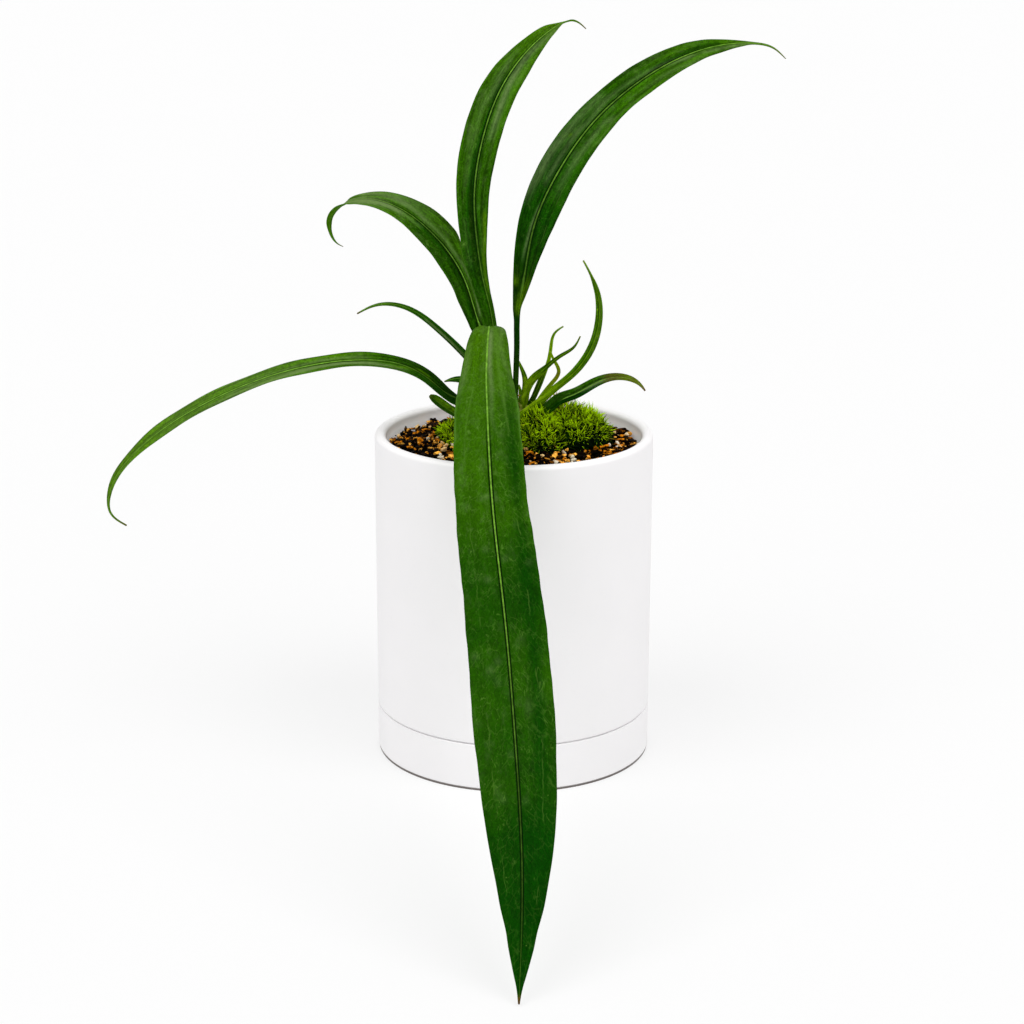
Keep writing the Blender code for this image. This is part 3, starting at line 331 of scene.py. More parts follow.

# Soft strokes that run along a leaf, by kind. A station is thousandths of the length, then hundredths:
# place across, width (both of the half width) and strength. tone lightens as painted light, or darkens as
# painted shade below zero; the sheen strokes silver as a painted sheen; young yellows; dark and pale draw
# lines.
STROKES = {
    "leaf_front_long": dict(
        painted_sheen=(((159, -13, 20, 75), (175, -13, 18, 100), (190, -10, 16, 105), (248, -17, 11, 70),
            (318, -13, 9, 40), (357, -40, 8, 20)), ((127, 33, 21, 60), (169, 27, 16, 25)),
            ((184, 87, 19, 45), (222, 83, 15, 60), (264, 90, 13, 40)), ((148, -80, 24, 70),
            (182, -63, 19, 50), (209, -73, 17, 50), (228, -90, 15, 45), (245, -90, 14, 40))),
        # The first two pale strokes, along both margins, are painted highlights on the bent edges.
        pale=(((287, -97, 3, 80), (374, -100, 3, 80)), ((273, 100, 3, 60), (346, 97, 3, 60)),
            ((268, 47, 3, 35), (350, 67, 2, 35), (400, 70, 2, 15)), ((4, 40, 19, 45), (23, 43, 18, 45),
            (39, -20, 17, 30), (338, -60, 2, 40))),
        tone=(((24, -77, 159, -40), (227, -70, 27, -30), (373, -70, 20, -45), (452, -73, 19, -30),
            (586, -63, 17, -15), (657, -63, 17, -30), (808, -57, 18, -10)),)),
    "leaf_back_left": dict(
        painted_sheen=(((590, -23, 16, 40), (616, -30, 18, 45), (638, -27, 19, 50), (663, -27, 22, 80),
            (693, -27, 26, 100), (730, -30, 33, 105), (770, -43, 45, 95), (804, -30, 59, 100),
            (832, -3, 77, 95)), ((291, 43, 20, 60), (317, 60, 20, 85), (341, 70, 20, 85), (379, 67, 20, 65),
            (496, 27, 14, 60), (570, 27, 15, 55), (694, 53, 23, 50), (780, 73, 43, 60)), ((710, -3, 25, 55),
            (790, 0, 35, 65), (860, -10, 50, 75))),
        tone=(((618, 10, 8, -80), (664, 10, 10, -90), (785, 40, 19, -100), (825, 60, 26, -90)),
            ((297, -17, 20, -70), (549, -17, 12, -70), (603, -10, 12, -70)), ((578, -53, 12, -40),
            (656, -77, 14, -40), (693, -70, 17, -40))),
        pale=(((360, 70, 8, 40), (407, 73, 8, 40), (501, 100, 5, 40)),)),
    "leaf_back_tall": dict(
        tone=(((290, -30, 30, -50), (515, -20, 15, -90), (666, -3, 14, -90), (719, -7, 14, -90),
            (830, 27, 21, -90), (884, 20, 32, -80), (930, 40, 77, -60)), ((638, 53, 10, -30),
            (706, 53, 11, -30), (745, 43, 11, -30), (808, 43, 14, -30))),
        painted_sheen=(((509, -50, 20, 30), (630, -43, 18, 35), (672, -47, 18, 45), (707, -33, 19, 50),
            (791, -50, 23, 50)), ((335, -67, 27, 20), (427, -60, 20, 20)), ((612, 40, 21, 50),
            (659, 43, 21, 70), (804, 27, 28, 75), (842, 33, 35, 70), (884, 57, 49, 60),
            (934, 100, 139, 60))),
        pale=(((583, -63, 4, 30), (685, -70, 4, 35), (719, -60, 4, 35), (756, -73, 5, 35)),
            ((597, 60, 4, 40), (626, 67, 4, 50), (653, 63, 4, 50), (684, 70, 4, 50), (799, 70, 6, 50))),
        young=(((281, 53, 30, 45), (306, 50, 27, 45), (402, 73, 18, 45), (438, 70, 16, 45)),),
        dark=(((324, 33, 10, 50), (392, 27, 7, 50), (426, 17, 7, 50)),)),
    "leaf_back_right": dict(
        painted_sheen=(((387, -90, 28, 30), (412, -87, 27, 55), (447, -77, 26, 65), (486, -80, 26, 65),
            (518, -73, 27, 55), (617, -73, 30, 40)), ((430, -27, 14, 35), (465, -27, 14, 55),
            (546, -27, 15, 50), (572, -20, 16, 45), (608, -30, 16, 50), (632, -33, 17, 40),
            (750, -7, 20, 45), (799, 23, 24, 40)), ((691, 57, 18, 25), (736, 60, 19, 40),
            (812, 93, 26, 40)), ((419, 50, 19, 20), (451, 43, 19, 35), (555, 50, 20, 50), (580, 47, 21, 40),
            (598, 60, 21, 50)), ((291, -30, 15, 35), (314, -23, 13, 55), (386, -7, 10, 60)),
            ((755, 20, 15, 30), (819, 33, 20, 35), (831, 40, 23, 60), (880, 47, 40, 70), (904, 43, 64, 70),
            (925, 37, 127, 60))),
        dark=(((644, -20, 7, 40), (672, -17, 7, 40)), ((455, -40, 5, 35), (476, -63, 5, 35)),
            ((536, -57, 6, 40), (547, -63, 6, 40)), ((596, 50, 5, 35), (614, 67, 5, 35))),
        pale=(((534, 77, 4, 35), (553, 87, 5, 40), (611, 77, 5, 40), (681, 90, 5, 40)),),
        young=(((199, 33, 95, 100), (225, 30, 51, 80), (247, 47, 32, 40)),),
        tone=(((729, -13, 13, -80), (793, -17, 15, -80), (824, -27, 20, -80), (853, -27, 26, -80)),)),
    "leaf_left_long": dict(
        painted_sheen=(((244, -67, 24, 55), (289, -67, 24, 85), (376, -43, 23, 95), (554, -83, 25, 80),
            (601, -73, 25, 70), (647, -73, 25, 60)), ((300, -33, 18, 50), (450, -33, 18, 60),
            (600, -35, 18, 45)), ((317, 30, 21, 50), (359, 37, 21, 60), (535, 3, 23, 55),
            (581, -3, 23, 40))),
        pale=(((432, -10, 9, 35), (493, -10, 10, 60), (598, -10, 10, 75), (685, 5, 10, 85),
            (820, 5, 12, 70)),),
        dark=(((333, -27, 8, 35), (375, -7, 8, 35), (418, -13, 8, 35), (462, -10, 8, 35), (506, -17, 8, 35),
            (596, -10, 8, 35), (642, 10, 8, 35)),),
        young=(((175, 3, 16, 50), (195, 23, 16, 50), (259, -63, 15, 50)),)),
    "leaf_left_narrow": dict(
        painted_sheen=(((360, -35, 30, 50), (500, -30, 30, 95), (620, -30, 30, 70)),),
        dark=(((400, 10, 25, 80), (600, 15, 25, 80)),)),
    "leaf_left_stub": dict(
        young=(((300, 30, 35, 80), (600, 35, 40, 90), (930, 30, 40, 60)),)),
    "leaf_right_upright": dict(
        dark=(((100, 90, 35, 70), (200, 90, 35, 60), (300, 73, 30, 40)), ((387, -33, 18, 50),
            (556, -40, 16, 50), (709, -27, 17, 50), (786, -50, 18, 50))),
        young=(((80, -15, 50, 70), (200, -10, 35, 80), (300, -5, 25, 60), (420, 0, 20, 20)),),
        painted_sheen=(((500, 30, 30, 40), (650, 20, 40, 50), (800, 30, 40, 40)),),
        pale=(((50, -30, 60, 90), (130, -25, 35, 60), (280, -5, 20, 20)),)),
    "leaf_right_low": dict(
        painted_sheen=(((520, 25, 25, 30), (630, 28, 30, 80), (750, 30, 35, 80), (880, 30, 40, 60)),
            ((400, 0, 12, 80), (600, 3, 15, 110), (700, 5, 17, 110)))),
    "shoot_curved": dict(
        dark=(((120, 35, 20, 70), (300, 40, 20, 70)), ((140, -50, 15, 50), (360, -45, 15, 50))),
        pale=(((80, -10, 30, 70), (330, 0, 25, 50)),)),
    "shoot_inner": dict(
        pale=(((250, -10, 40, 50), (600, 0, 50, 60)),)),
}

# Soft spots on a leaf, in the same units, with a reach along it in millimetres before the width. The
# sheen spots are painted sheen.
SPOTS = {
    "leaf_front_long": dict(
        painted_sheen=((442, 23, 2.3, 14, 40), (456, 67, 2.3, 14, 30), (514, 30, 2.3, 13, 35),
            (553, 33, 2.3, 13, 40), (647, 83, 2.3, 12, 35), (652, 27, 2.3, 12, 40), (662, 47, 2.3, 12, 40),
            (527, -17, 2.3, 13, 35), (538, -80, 2.3, 13, 30), (627, -37, 2.3, 12, 25),
            (676, 30, 2.3, 12, 30), (721, 87, 2.3, 12, 25), (754, 13, 2.3, 12, 30), (801, 43, 2.3, 13, 30),
            (803, -17, 2.3, 13, 25), (705, -37, 5.1, 12, 35)),
        dark=((451, -70, 1.4, 7, 40), (488, -83, 1.4, 7, 40), (561, 77, 1.4, 6, 40), (615, 77, 1.4, 6, 40),
            (570, -80, 1.4, 6, 30), (583, -43, 1.4, 6, 20), (771, -33, 1.4, 6, 50), (730, -13, 1.4, 6, 50),
            (838, 53, 1.4, 7, 30), (880, -20, 1.4, 9, 30))),
    "leaf_back_tall": dict(
        pale=((380, -83, 0.7, 10, 80),)),
    "leaf_back_right": dict(
        dark=((505, -30, 1.9, 12, 45), (323, -67, 2.3, 19, 50), (232, -90, 2.3, 26, 50),
            (563, -30, 1.4, 10, 35), (428, -30, 1.4, 10, 35), (489, 7, 1.4, 7, 40), (509, 60, 1.4, 7, 40),
            (525, 63, 1.4, 7, 40), (863, 57, 1.9, 29, 40)),
        pale=((696, -63, 1.2, 12, 50), (828, 33, 0.9, 20, 60)),
        young=((244, -70, 2.3, 28, 50), (528, -50, 0.7, 7, 80))),
}

# What a leaf has where its own entry says nothing else.
USUAL = dict(rib=0.5, ripple=0.12, skew=(), droop=(), tone=((0, 0.4, 0.4), (1, 0.4, 0.4)),
             rib_shade=((0, 0.9), (1, 0.9)), light=((0, 1), (1, 1)))
STROKE_UNITS = (1000, 100, 100, 100)
SPOT_UNITS = (1000, 100, 1, 100, 100)
STROKE_END = 0.018

# The fine blade: its grid, its skins, its midrib, and the relief of margins, veins and swells.
SPINE_STEPS = 1600
ROW_STEP = 1.0
COLUMN_STEP = 0.55
FEWEST_COLUMNS = 5
RIB_COLUMNS = (0.15, 0.3, 0.45, 0.6, 0.8, 1.05)
RIB_ROOM = 0.6
BLADE_OPENING = 0.10
BASE_REACH = 1.6
SKIN = 0.32
MARGIN_SKIN = 0.1
RIB_UPPER = 0.32
RIB_UNDER = 1.4
RIB_LOWER = 0.75
RIB_NARROWING = 0.5
RIB_SINKING = 0.7
GROOVE_PLACE = 1.25
GROOVE_WIDTH = 0.3
GROOVE_DEPTH = 0.12
FOLD_ROUNDING = 0.3
WAVE_SHIFT = 0.9
WAVE_STRETCH = 1.13
FULL_WAVE_WIDTH = 6.0
FULL_RELIEF_WIDTH = 9.0
VEIN_STEP = 4.6
VEIN_SLANT = 1.1
VEIN_STRAY = 0.6
VEIN_WIDTH = 0.17
VEIN_REACH = 0.8
SWELL = 0.16
COLLECTIVE_PLACE = 0.66
COLLECTIVE_WIDTH = 0.035
COLLECTIVE_DEPTH = 0.06
MARGIN_STRAY = 0.012
SIDE_BLEND = 8.0
LEAF_SHIFT = 37

# The crown's remeshed stem.
CROWN_VOXEL = 0.32
BARK_SPAN = (150, 161)


def link(name, mesh):
    made = bpy.data.objects.new(name, mesh)
    bpy.context.scene.collection.objects.link(made)
    return made


def camera():
    """A camera at the fitted place, with the fitted tilt and roll."""
    down, left, roll = radians(LOOK_DOWN), radians(-LOOK_LEFT), radians(ROLL)
    ahead = Vector((sin(left) * cos(down), cos(left) * cos(down), -sin(down)))
    right = Vector((cos(left), -sin(left), 0))
    up = right.cross(ahead)
    right, up = cos(roll) * right + sin(roll) * up, cos(roll) * up - sin(roll) * right
    data = bpy.data.cameras.new("camera")
    data.sensor_width = SENSOR
    data.lens = FOCAL
    data.clip_start, data.clip_end = CLIP
    made = link("camera", data)
    turn = Matrix((right, up, -ahead)).transposed().to_4x4()
    made.matrix_world = Matrix.Translation(Vector(EYE) * MM) @ turn
    bpy.context.scene.camera = made


def mesh_of(name, points, faces, smooth=True, **values):
    """A mesh from points in millimetres and arrays of faces, with named numbers at its points."""
    points = np.asarray(points, np.float32).reshape(-1, 3) * MM
    faces = [np.asarray(f, np.int32) for f in faces]
    corners = np.concatenate([f.ravel() for f in faces])
    sizes = np.concatenate([np.full(len(f), f.shape[1]) for f in faces])
    starts = np.concatenate([[0], np.cumsum(sizes)[:-1]]).astype(np.int32)
    mesh = bpy.data.meshes.new(name)
    mesh.vertices.add(len(points))
    mesh.vertices.foreach_set("co", points.ravel())
    mesh.loops.add(len(corners))
    mesh.loops.foreach_set("vertex_index", corners)
    mesh.polygons.add(len(sizes))
    mesh.polygons.foreach_set("loop_start", starts)
    mesh.update(calc_edges=True)
    for key, value in values.items():
        made = mesh.attributes.new(key, "FLOAT", "POINT")
        made.data.foreach_set("value", np.asarray(value, np.float32).ravel())
    if smooth:
        mesh.shade_smooth()
    else:
        mesh.shade_flat()
    return mesh


def finish_piece(made, material, node=None):
    made.data.materials.clear()
    made.data.materials.append(material)
    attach(made, "root")
    if node:
        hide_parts(node)
    return made


def scaled(colour, factor):
    return tuple(factor * c for c in colour)


class Graph:
    """Short calls that lay out a material's nodes."""

    def __init__(self, name, **settings):
        self.material = bpy.data.materials.new(name)
        self.material.use_nodes = True
        self.tree = self.material.node_tree
        self.shader = self.tree.nodes["Principled BSDF"]
        for key, value in settings.items():
            self.shader.inputs[key.replace("_", " ")].default_value = value

    def node(self, kind, settings=(), **inputs):
        made = self.tree.nodes.new("ShaderNode" + kind)
        for key, value in dict(settings).items():
            setattr(made, key, value)
        for key, value in inputs.items():
            self.put(made.inputs[key.replace("_", " ")], value)
        return made

    def put(self, socket, value):
        if isinstance(value, bpy.types.NodeSocket):
            self.tree.links.new(value, socket)
        elif isinstance(value, tuple) and len(value) == 3 and len(socket.default_value) == 4:
            socket.default_value = (*value, 1)
        else:
            socket.default_value = value

    def value(self, name):
        return self.node("Attribute", dict(attribute_name=name)).outputs["Fac"]

    def math(self, operation, *values, clamp=False):
        made = self.node("Math", dict(operation=operation, use_clamp=clamp))
        for socket, value in zip(made.inputs, values):
            self.put(socket, value)
        return made.outputs[0]

    def times(self, one, other, clamp=False):
        return self.math("MULTIPLY", one, other, clamp=clamp)

    def plus(self, one, other, clamp=False):
        return self.math("ADD", one, other, clamp=clamp)

    def past(self, value, middle):
        """How far a value is from a middle one, with its sign."""
        return self.math("SUBTRACT", value, middle)

    def size(self, value):
        return self.math("ABSOLUTE", value)

    def fade(self, value, start, end, low=0.0, high=1.0):
        """low below start and high above end, with a smooth change between them."""
        made = self.node("MapRange", dict(interpolation_type="SMOOTHSTEP"), Value=value)
        for key, number in (("From Min", start), ("From Max", end), ("To Min", low), ("To Max", high)):
            made.inputs[key].default_value = number
        return made.outputs[0]

    def fade_over(self, value, span, low=0.0, high=1.0):
        """The same over a span of sizes in millimetres."""
        return self.fade(value, span[0] * MM, span[1] * MM, low, high)

    def noise(self, place, scale, detail=2.0, roughness=0.5, distortion=0.0):
        made = self.node("TexNoise", Vector=place, Scale=scale, Detail=detail, Roughness=roughness,
                         Distortion=distortion)
        return made.outputs["Fac"]

    def cells(self, place, scale, feature="F1"):
        made = self.node("TexVoronoi", dict(feature=feature), Vector=place, Scale=scale)
        return made.outputs["Distance"]

    def place(self, x, y, z=0.0):
        return self.node("CombineXYZ", X=x, Y=y, Z=z).outputs[0]

    def object_place(self):
        return self.node("TexCoord").outputs["Object"]

    def height(self, place):
        return self.node("SeparateXYZ", Vector=place).outputs["Z"]

    def stretched(self, place, factors):
        made = self.node("VectorMath", dict(operation="MULTIPLY"))
        self.put(made.inputs[0], place)
        made.inputs[1].default_value = factors
        return made.outputs[0]

    def mix(self, share, one, other, blend="MIX"):
        made = self.node("Mix", dict(data_type="RGBA", blend_type=blend))
        for index, value in ((0, share), (6, one), (7, other)):
            self.put(made.inputs[index], value)
        return made.outputs[2]

    def shade(self, colour, factor):
        """A colour times a grey factor."""
        return self.mix(1.0, colour, factor, "MULTIPLY")

    def bump(self, height, distance, strength=1.0):
        made = self.node("Bump", Height=height, Distance=distance * MM, Strength=strength)
        self.put(self.shader.inputs["Normal"], made.outputs[0])

    def paint(self, colour, roughness=None):
        self.put(self.shader.inputs["Base Color"], colour)
        if roughness is not None:
            self.put(self.shader.inputs["Roughness"], roughness)
        return self.material


def leaf_veins(g, green, level, pale, nerve):
    """The green with a fine worn net, two sizes of hairlines, side veins and pale specks over it."""
    across, along = g.value("across"), g.value("along")
    place = g.place(across, along)
    seen = g.fade(level, -0.1, 0.6, 0.35, 1)
    slanted = g.plus(g.times(along, 0.6), g.times(g.size(across), -0.7))
    bent = g.place(g.plus(across, g.times(g.noise(place, 0.45, 2), 3.5)), slanted)
    net = g.fade(g.cells(bent, 0.38, "DISTANCE_TO_EDGE"), 0.0, 0.07, 1, 0)
    worn = g.times(seen, g.fade(g.noise(place, 0.13, 2), 0.38, 0.6))
    hair = scaled(pale, 1.6)
    green = g.mix(g.times(g.times(net, worn), nerve), green, hair)
    for scale, stretch, width, strength in ((0.16, 0.35, 0.012, 0.5), (0.34, 0.6, 0.012, 0.4)):
        line = g.noise(g.place(across, g.times(along, stretch), scale * 50), scale, 3, 0.5, 0.8)
        line = g.fade(g.size(g.past(line, 0.5)), 0.0, width, 1, 0)
        part = g.times(seen, g.fade(g.noise(place, scale * 1.3, 2), 0.52, 0.6))
        green = g.mix(g.times(g.times(line, part), strength * (0.52 + nerve)), green, hair)
    drift = g.times(g.past(g.noise(g.place(0.0, along), 0.12, 3), 0.5), 0.2)
    vein = g.size(g.past(g.plus(g.size(g.value("signed")), drift), 0.64))
    vein = g.times(g.fade(vein, 0.0, 0.025, 1, 0), g.fade(g.noise(place, 0.07, 3), 0.5, 0.6))
    green = g.mix(g.times(vein, 0.35), green, pale)
    speck = g.fade(g.cells(place, 0.22), 0.03, 0.07, 0.8, 0)
    return g.mix(g.times(speck, g.fade(g.noise(place, 0.05, 1), 0.5, 0.6)), green, pale), net


def leaf_material(name, dark, deep, mid, pale, painted_sheen_colour, young, dry, rib, silk, curl, nerve):
    """Satin green with painted light, shade and sheen: a thin pale midrib between lines of painted shade,
    fine mottling, veins, hairlines, and a pale margin painted as a highlight.
    """
    g = Graph(name, Specular_IOR_Level=0.01)
    across, along = g.value("across"), g.value("along")
    place = g.place(across, along)
    half_place = g.place(across, g.times(along, 0.45))
    lengthwise = g.place(g.times(g.value("signed"), 8.0), g.times(along, 0.035))
    broad, patch = g.noise(place, 0.05, 3, 0.55), g.noise(place, 0.17, 4, 0.6)
    wrinkle, grain = g.noise(half_place, 0.5, 5, 0.72, 2.2), g.noise(place, 1.7, 3, 0.6)
    streak = g.noise(lengthwise, 0.55, 4, 0.62)

    # level carries the painted light and shade of tone, with broad random mottling.
    level = g.plus(g.value("tone"), g.times(g.past(broad, 0.5), 0.5))
    relief = g.shade(g.fade(wrinkle, 0.32, 0.68, 1 - curl, 1 + curl),
                     g.fade(grain, 0.3, 0.7, 1 - 0.5 * curl, 1 + 0.6 * curl))
    relief = g.shade(relief, g.fade(streak, 0.34, 0.66, 1 - silk, 1 + silk))
    green = g.mix(g.fade(level, 0.0, 1.0), g.mix(g.fade(level, -0.6, 0.1), dark, deep), mid)
    green = g.shade(green, relief)
    # Painted sheen: soft silvery patches where the tone is light, the sheen strokes and spots, and tones
    # above 1.
    sheen = g.times(g.fade(g.noise(half_place, 0.2, 5, 0.7), 0.5, 0.72, 0, 0.24),
                    g.fade(level, 0.15, 0.7, 0, 1))
    painted_sheen_amount = g.times(g.math("POWER", g.value("painted_sheen"), 1.8), g.fade(streak, 0.3, 0.64, 1 - silk, 1 + silk))
    painted_sheen_amount = g.times(painted_sheen_amount, g.fade(wrinkle, 0.35, 0.65, 0.75, 1.2))
    painted_sheen_amount = g.plus(painted_sheen_amount, g.fade(level, 1.0, 2.0, 0, 0.5))
    green = g.mix(g.plus(sheen, painted_sheen_amount, clamp=True), green, painted_sheen_colour)
    fresh = g.mix(g.fade(patch, 0.3, 0.7), young, scaled(young, 0.7))
    green = g.mix(g.times(g.value("young"), 1.0, clamp=True), green, g.shade(fresh, relief))
    green = g.mix(g.times(g.value("dark"), 1.0, clamp=True), green, dark)

    green, net = leaf_veins(g, green, level, pale, nerve)
    mark = g.times(g.value("pale"), g.fade(grain, 0.35, 0.6, 0.7, 1.1), clamp=True)
    green = g.mix(mark, green, scaled(pale, 1.2))
    rib_share = g.value("rib")
    # Painted shade in thin dark lines beside the raised midrib.
    green = g.mix(g.times(g.fade(rib_share, 1.7, 3.3, 1, 0), g.value("rib_shade")), green, dark)
    middle = g.mix(g.fade(g.noise(place, 0.3, 2), 0.35, 0.65), rib, scaled(rib, 0.6))
    green = g.mix(g.times(g.fade(rib_share, 0.5, 1.1, 1, 0), g.value("light")), green, middle)
    # Painted highlight: a pale margin where the bent edge catches the light.
    green = g.mix(g.fade(g.value("edge"), 0.06, 0.3, 0.2, 0), green, pale)
    green = g.mix(g.times(g.value("under"), 0.45), green, scaled(mid, 1.5))
    green = g.mix(g.value("dry"), green, g.mix(g.fade(grain, 0.4, 0.6), dry, scaled(dry, 0.45)))
    g.bump(g.plus(g.times(net, 0.3), wrinkle), 0.16, 0.7)
    return g.paint(green, g.fade(patch, 0.3, 0.7, 0.36, 0.5))


def eased(stations, at):
    """Values between stations, which are rows of a share and its values, by a monotone cubic."""
    stations = np.array(stations, float)
    x, y = stations[:, 0], stations[:, 1:]
    gaps = np.diff(x)[:, None]
    slope = np.diff(y, axis=0) / gaps
    before, after = slope[:-1], slope[1:]
    same = before * after > 0
    inner = np.where(same, 2 * before * after / np.where(same, before + after, 1), 0)
    grade = np.concatenate([slope[:1], inner, slope[-1:]])
    i = np.clip(np.searchsorted(x, at, side="right") - 1, 0, len(x) - 2)
    t = (at - x[i])[:, None] / gaps[i]
    value = (1 + 2 * t) * (1 - t) ** 2 * y[i] + t * t * (3 - 2 * t) * y[i + 1]
    return value + (t * (1 - t) ** 2 * gaps[i] * grade[i] + t * t * (t - 1) * gaps[i] * grade[i + 1])


def station_line(leaf, key, share):
    """A leaf's values along its length, with a zero station at an end that its list doesn't reach."""
    stations = leaf[key]
    if not stations or stations[0][0] > 0:
        stations = ((0, 0), *stations)
    if stations[-1][0] < 1:
        stations = (*stations, (1, 0))
    return eased(stations, share)


def smooth_line(points, step):
    """Evenly spaced places on a natural cubic spline through the points, their directions and length."""
    points = np.array(points, float)
    gaps = np.linalg.norm(np.diff(points, axis=0), axis=1)
    knots = np.concatenate([[0], np.cumsum(gaps)])
    system = np.eye(len(points))
    target = np.zeros_like(points)
    for i in range(1, len(points) - 1):
        before, after = gaps[i - 1], gaps[i]
        system[i, i - 1:i + 2] = before, 2 * (before + after), after
        target[i] = 6 * ((points[i + 1] - points[i]) / after - (points[i] - points[i - 1]) / before)
    bend = np.linalg.solve(system, target)
    fine = np.linspace(0, knots[-1], SPINE_STEPS)
    i = np.clip(np.searchsorted(knots, fine, side="right") - 1, 0, len(points) - 2)
    h = gaps[i][:, None]
    a = (fine - knots[i])[:, None]
    b = (knots[i + 1] - fine)[:, None]
    line = (bend[i] * b ** 3 + bend[i + 1] * a ** 3) / (6 * h)
    line += (points[i] / h - bend[i] * h / 6) * b + (points[i + 1] / h - bend[i + 1] * h / 6) * a
    run = np.concatenate([[0], np.cumsum(np.linalg.norm(np.diff(line, axis=0), axis=1))])
    even = np.linspace(0, run[-1], int(run[-1] / step) + 2)
    places = np.stack([np.interp(even, run, line[:, k]) for k in range(3)], axis=1)
    ways = np.gradient(places, axis=0)
    return places, ways / np.linalg.norm(ways, axis=1)[:, None], run[-1]


def wobble(at, draw, waves=4):
    """A smooth random line about zero, from a few sines with drawn phases."""
    total = np.zeros_like(np.asarray(at, float))
    for k in range(waves):
        total = total + np.sin(at * (k + 1) * draw.uniform(0.8, 1.3) + draw.uniform(0, tau)) / (k + 1)
    return total / 1.6


def painted(name, share, signed, length):
    """How strongly a leaf's strokes and spots cover each place, summed by kind."""
    sums = dict.fromkeys(("tone", "painted_sheen", "young", "dark", "pale"), 0.0)
    for kind, strokes in STROKES.get(name, {}).items():
        for stations in strokes:
            stations = np.array(stations) / STROKE_UNITS
            line = eased(stations, share)
            ends = np.minimum(share - stations[0, 0], stations[-1, 0] - share) / STROKE_END + 1
            shape = np.exp(-((signed - line[:, :1]) / line[:, 1:2]) ** 2)
            sums[kind] = sums[kind] + shape * line[:, 2:] * np.clip(ends, 0, 1)[:, None]
    for kind, spots in SPOTS.get(name, {}).items():
        for at, across, reach, width, strength in np.array(spots) / SPOT_UNITS:
            near = np.exp(-((share - at) * length / reach) ** 2)[:, None]
            sums[kind] = sums[kind] + strength * near * np.exp(-((signed - across) / width) ** 2)
    return sums


def column_places(halves, columns):
    """Places across every row, from margin to margin and closer together over the midrib."""
    count = columns // 2
    across = np.zeros((len(halves), columns))
    for k, half in enumerate(halves):
        out = np.linspace(0, half, count + 1)
        inner = np.array([c for c in RIB_COLUMNS if c < RIB_ROOM * half])
        if len(inner) and count > len(inner) + 2:
            rest = np.linspace(inner[-1], half, count - len(inner) + 1)[1:]
            out = np.concatenate([[0], inner, rest])
        across[k] = np.concatenate([-out[:0:-1], out])
    return across


def blade_rise(leaf, share, along, across, half, blade, draw):
    """How high each place lies over the spine: fold, droop, wavy margins, sunken veins and swells."""
    signed = across / half
    spread = np.abs(signed)
    rise = half * sin(radians(leaf["fold"])) * spread * blade * (1 + FOLD_ROUNDING * (1 - spread))
    phase = tau * leaf["waves"] * share[:, None]
    rise = rise - station_line(leaf, "droop", share) * spread ** 3
    wave = np.where(signed < 0, np.sin(phase + WAVE_SHIFT), np.sin(WAVE_STRETCH * phase)) * spread ** 2
    rise = rise + wave * leaf["wave"] * blade * np.minimum(1, half / FULL_WAVE_WIDTH)
    size = np.minimum(1, half / FULL_RELIEF_WIDTH)
    collective = np.exp(-((spread - COLLECTIVE_PLACE) / COLLECTIVE_WIDTH) ** 2)
    for way in (-1, 1):
        mask = (signed * way > 0) * blade * size
        start = along[:, None] - VEIN_SLANT * np.abs(across)
        beat = start / VEIN_STEP + VEIN_STRAY * wobble(along[:, None] / 14, draw)
        dip = np.exp(-((beat % 1 - 0.5) / VEIN_WIDTH) ** 2)
        dip = dip * np.sin(pi * np.clip(spread / VEIN_REACH, 0, 1))
        rise = rise - leaf["ripple"] * mask * dip
        swell = wobble(along[:, None] / 9 + 2 * spread, draw) * np.sin(pi * spread)
        rise = rise + SWELL * mask * swell
        rise = rise - COLLECTIVE_DEPTH * mask * collective
    return rise


def blade_skins(leaf, share, across, half, blade):
    """Heights of the upper and under skins over the blade's middle, and the midrib's half breadth."""
    skin = SKIN + (MARGIN_SKIN - SKIN) * np.abs(across / half) ** 3
    narrowing = 1 - RIB_NARROWING * share[:, None]
    slim = np.minimum(1, 0.45 + half / 12)
    breadth = blade * leaf["rib"] * slim * narrowing + (1 - blade) * half
    under = blade * RIB_UNDER * slim * narrowing + (1 - blade) * half
    round_rib = np.clip(1 - (across / breadth) ** 2, 0, 1) ** (0.5 + 0.7 * blade)
    round_under = np.clip(1 - (across / under) ** 2, 0, 1) ** 0.5
    taper = blade * (1 - RIB_SINKING * share[:, None])
    stalk = (1 - blade) * np.maximum(half - SKIN, 0)
    groove = np.exp(-((np.abs(across) / breadth - GROOVE_PLACE) / GROOVE_WIDTH) ** 2) * GROOVE_DEPTH * blade
    top = skin + round_rib * (RIB_UPPER * slim * taper + stalk) - groove * np.minimum(1, half / 5)
    bottom = skin + round_under * (RIB_LOWER * slim * taper + stalk)
    return top, -bottom, breadth


def sheet_faces(rows, columns):
    """The faces of a closed sheet between two grids of places."""
    first = np.arange(rows * columns).reshape(rows, columns)
    under = first + rows * columns
    a, b, c, d = first[:-1, :-1], first[:-1, 1:], first[1:, 1:], first[1:, :-1]
    return [np.stack([a, b, c, d], -1).reshape(-1, 4),
            np.stack([a, d, c, b], -1).reshape(-1, 4) + rows * columns,
            np.stack([first[:-1, 0], first[1:, 0], under[1:, 0], under[:-1, 0]], -1),
            np.stack([first[1:, -1], first[:-1, -1], under[:-1, -1], under[1:, -1]], -1),
            np.concatenate([under[0], first[0, ::-1]])[None],
            np.concatenate([first[-1], under[-1, ::-1]])[None]]


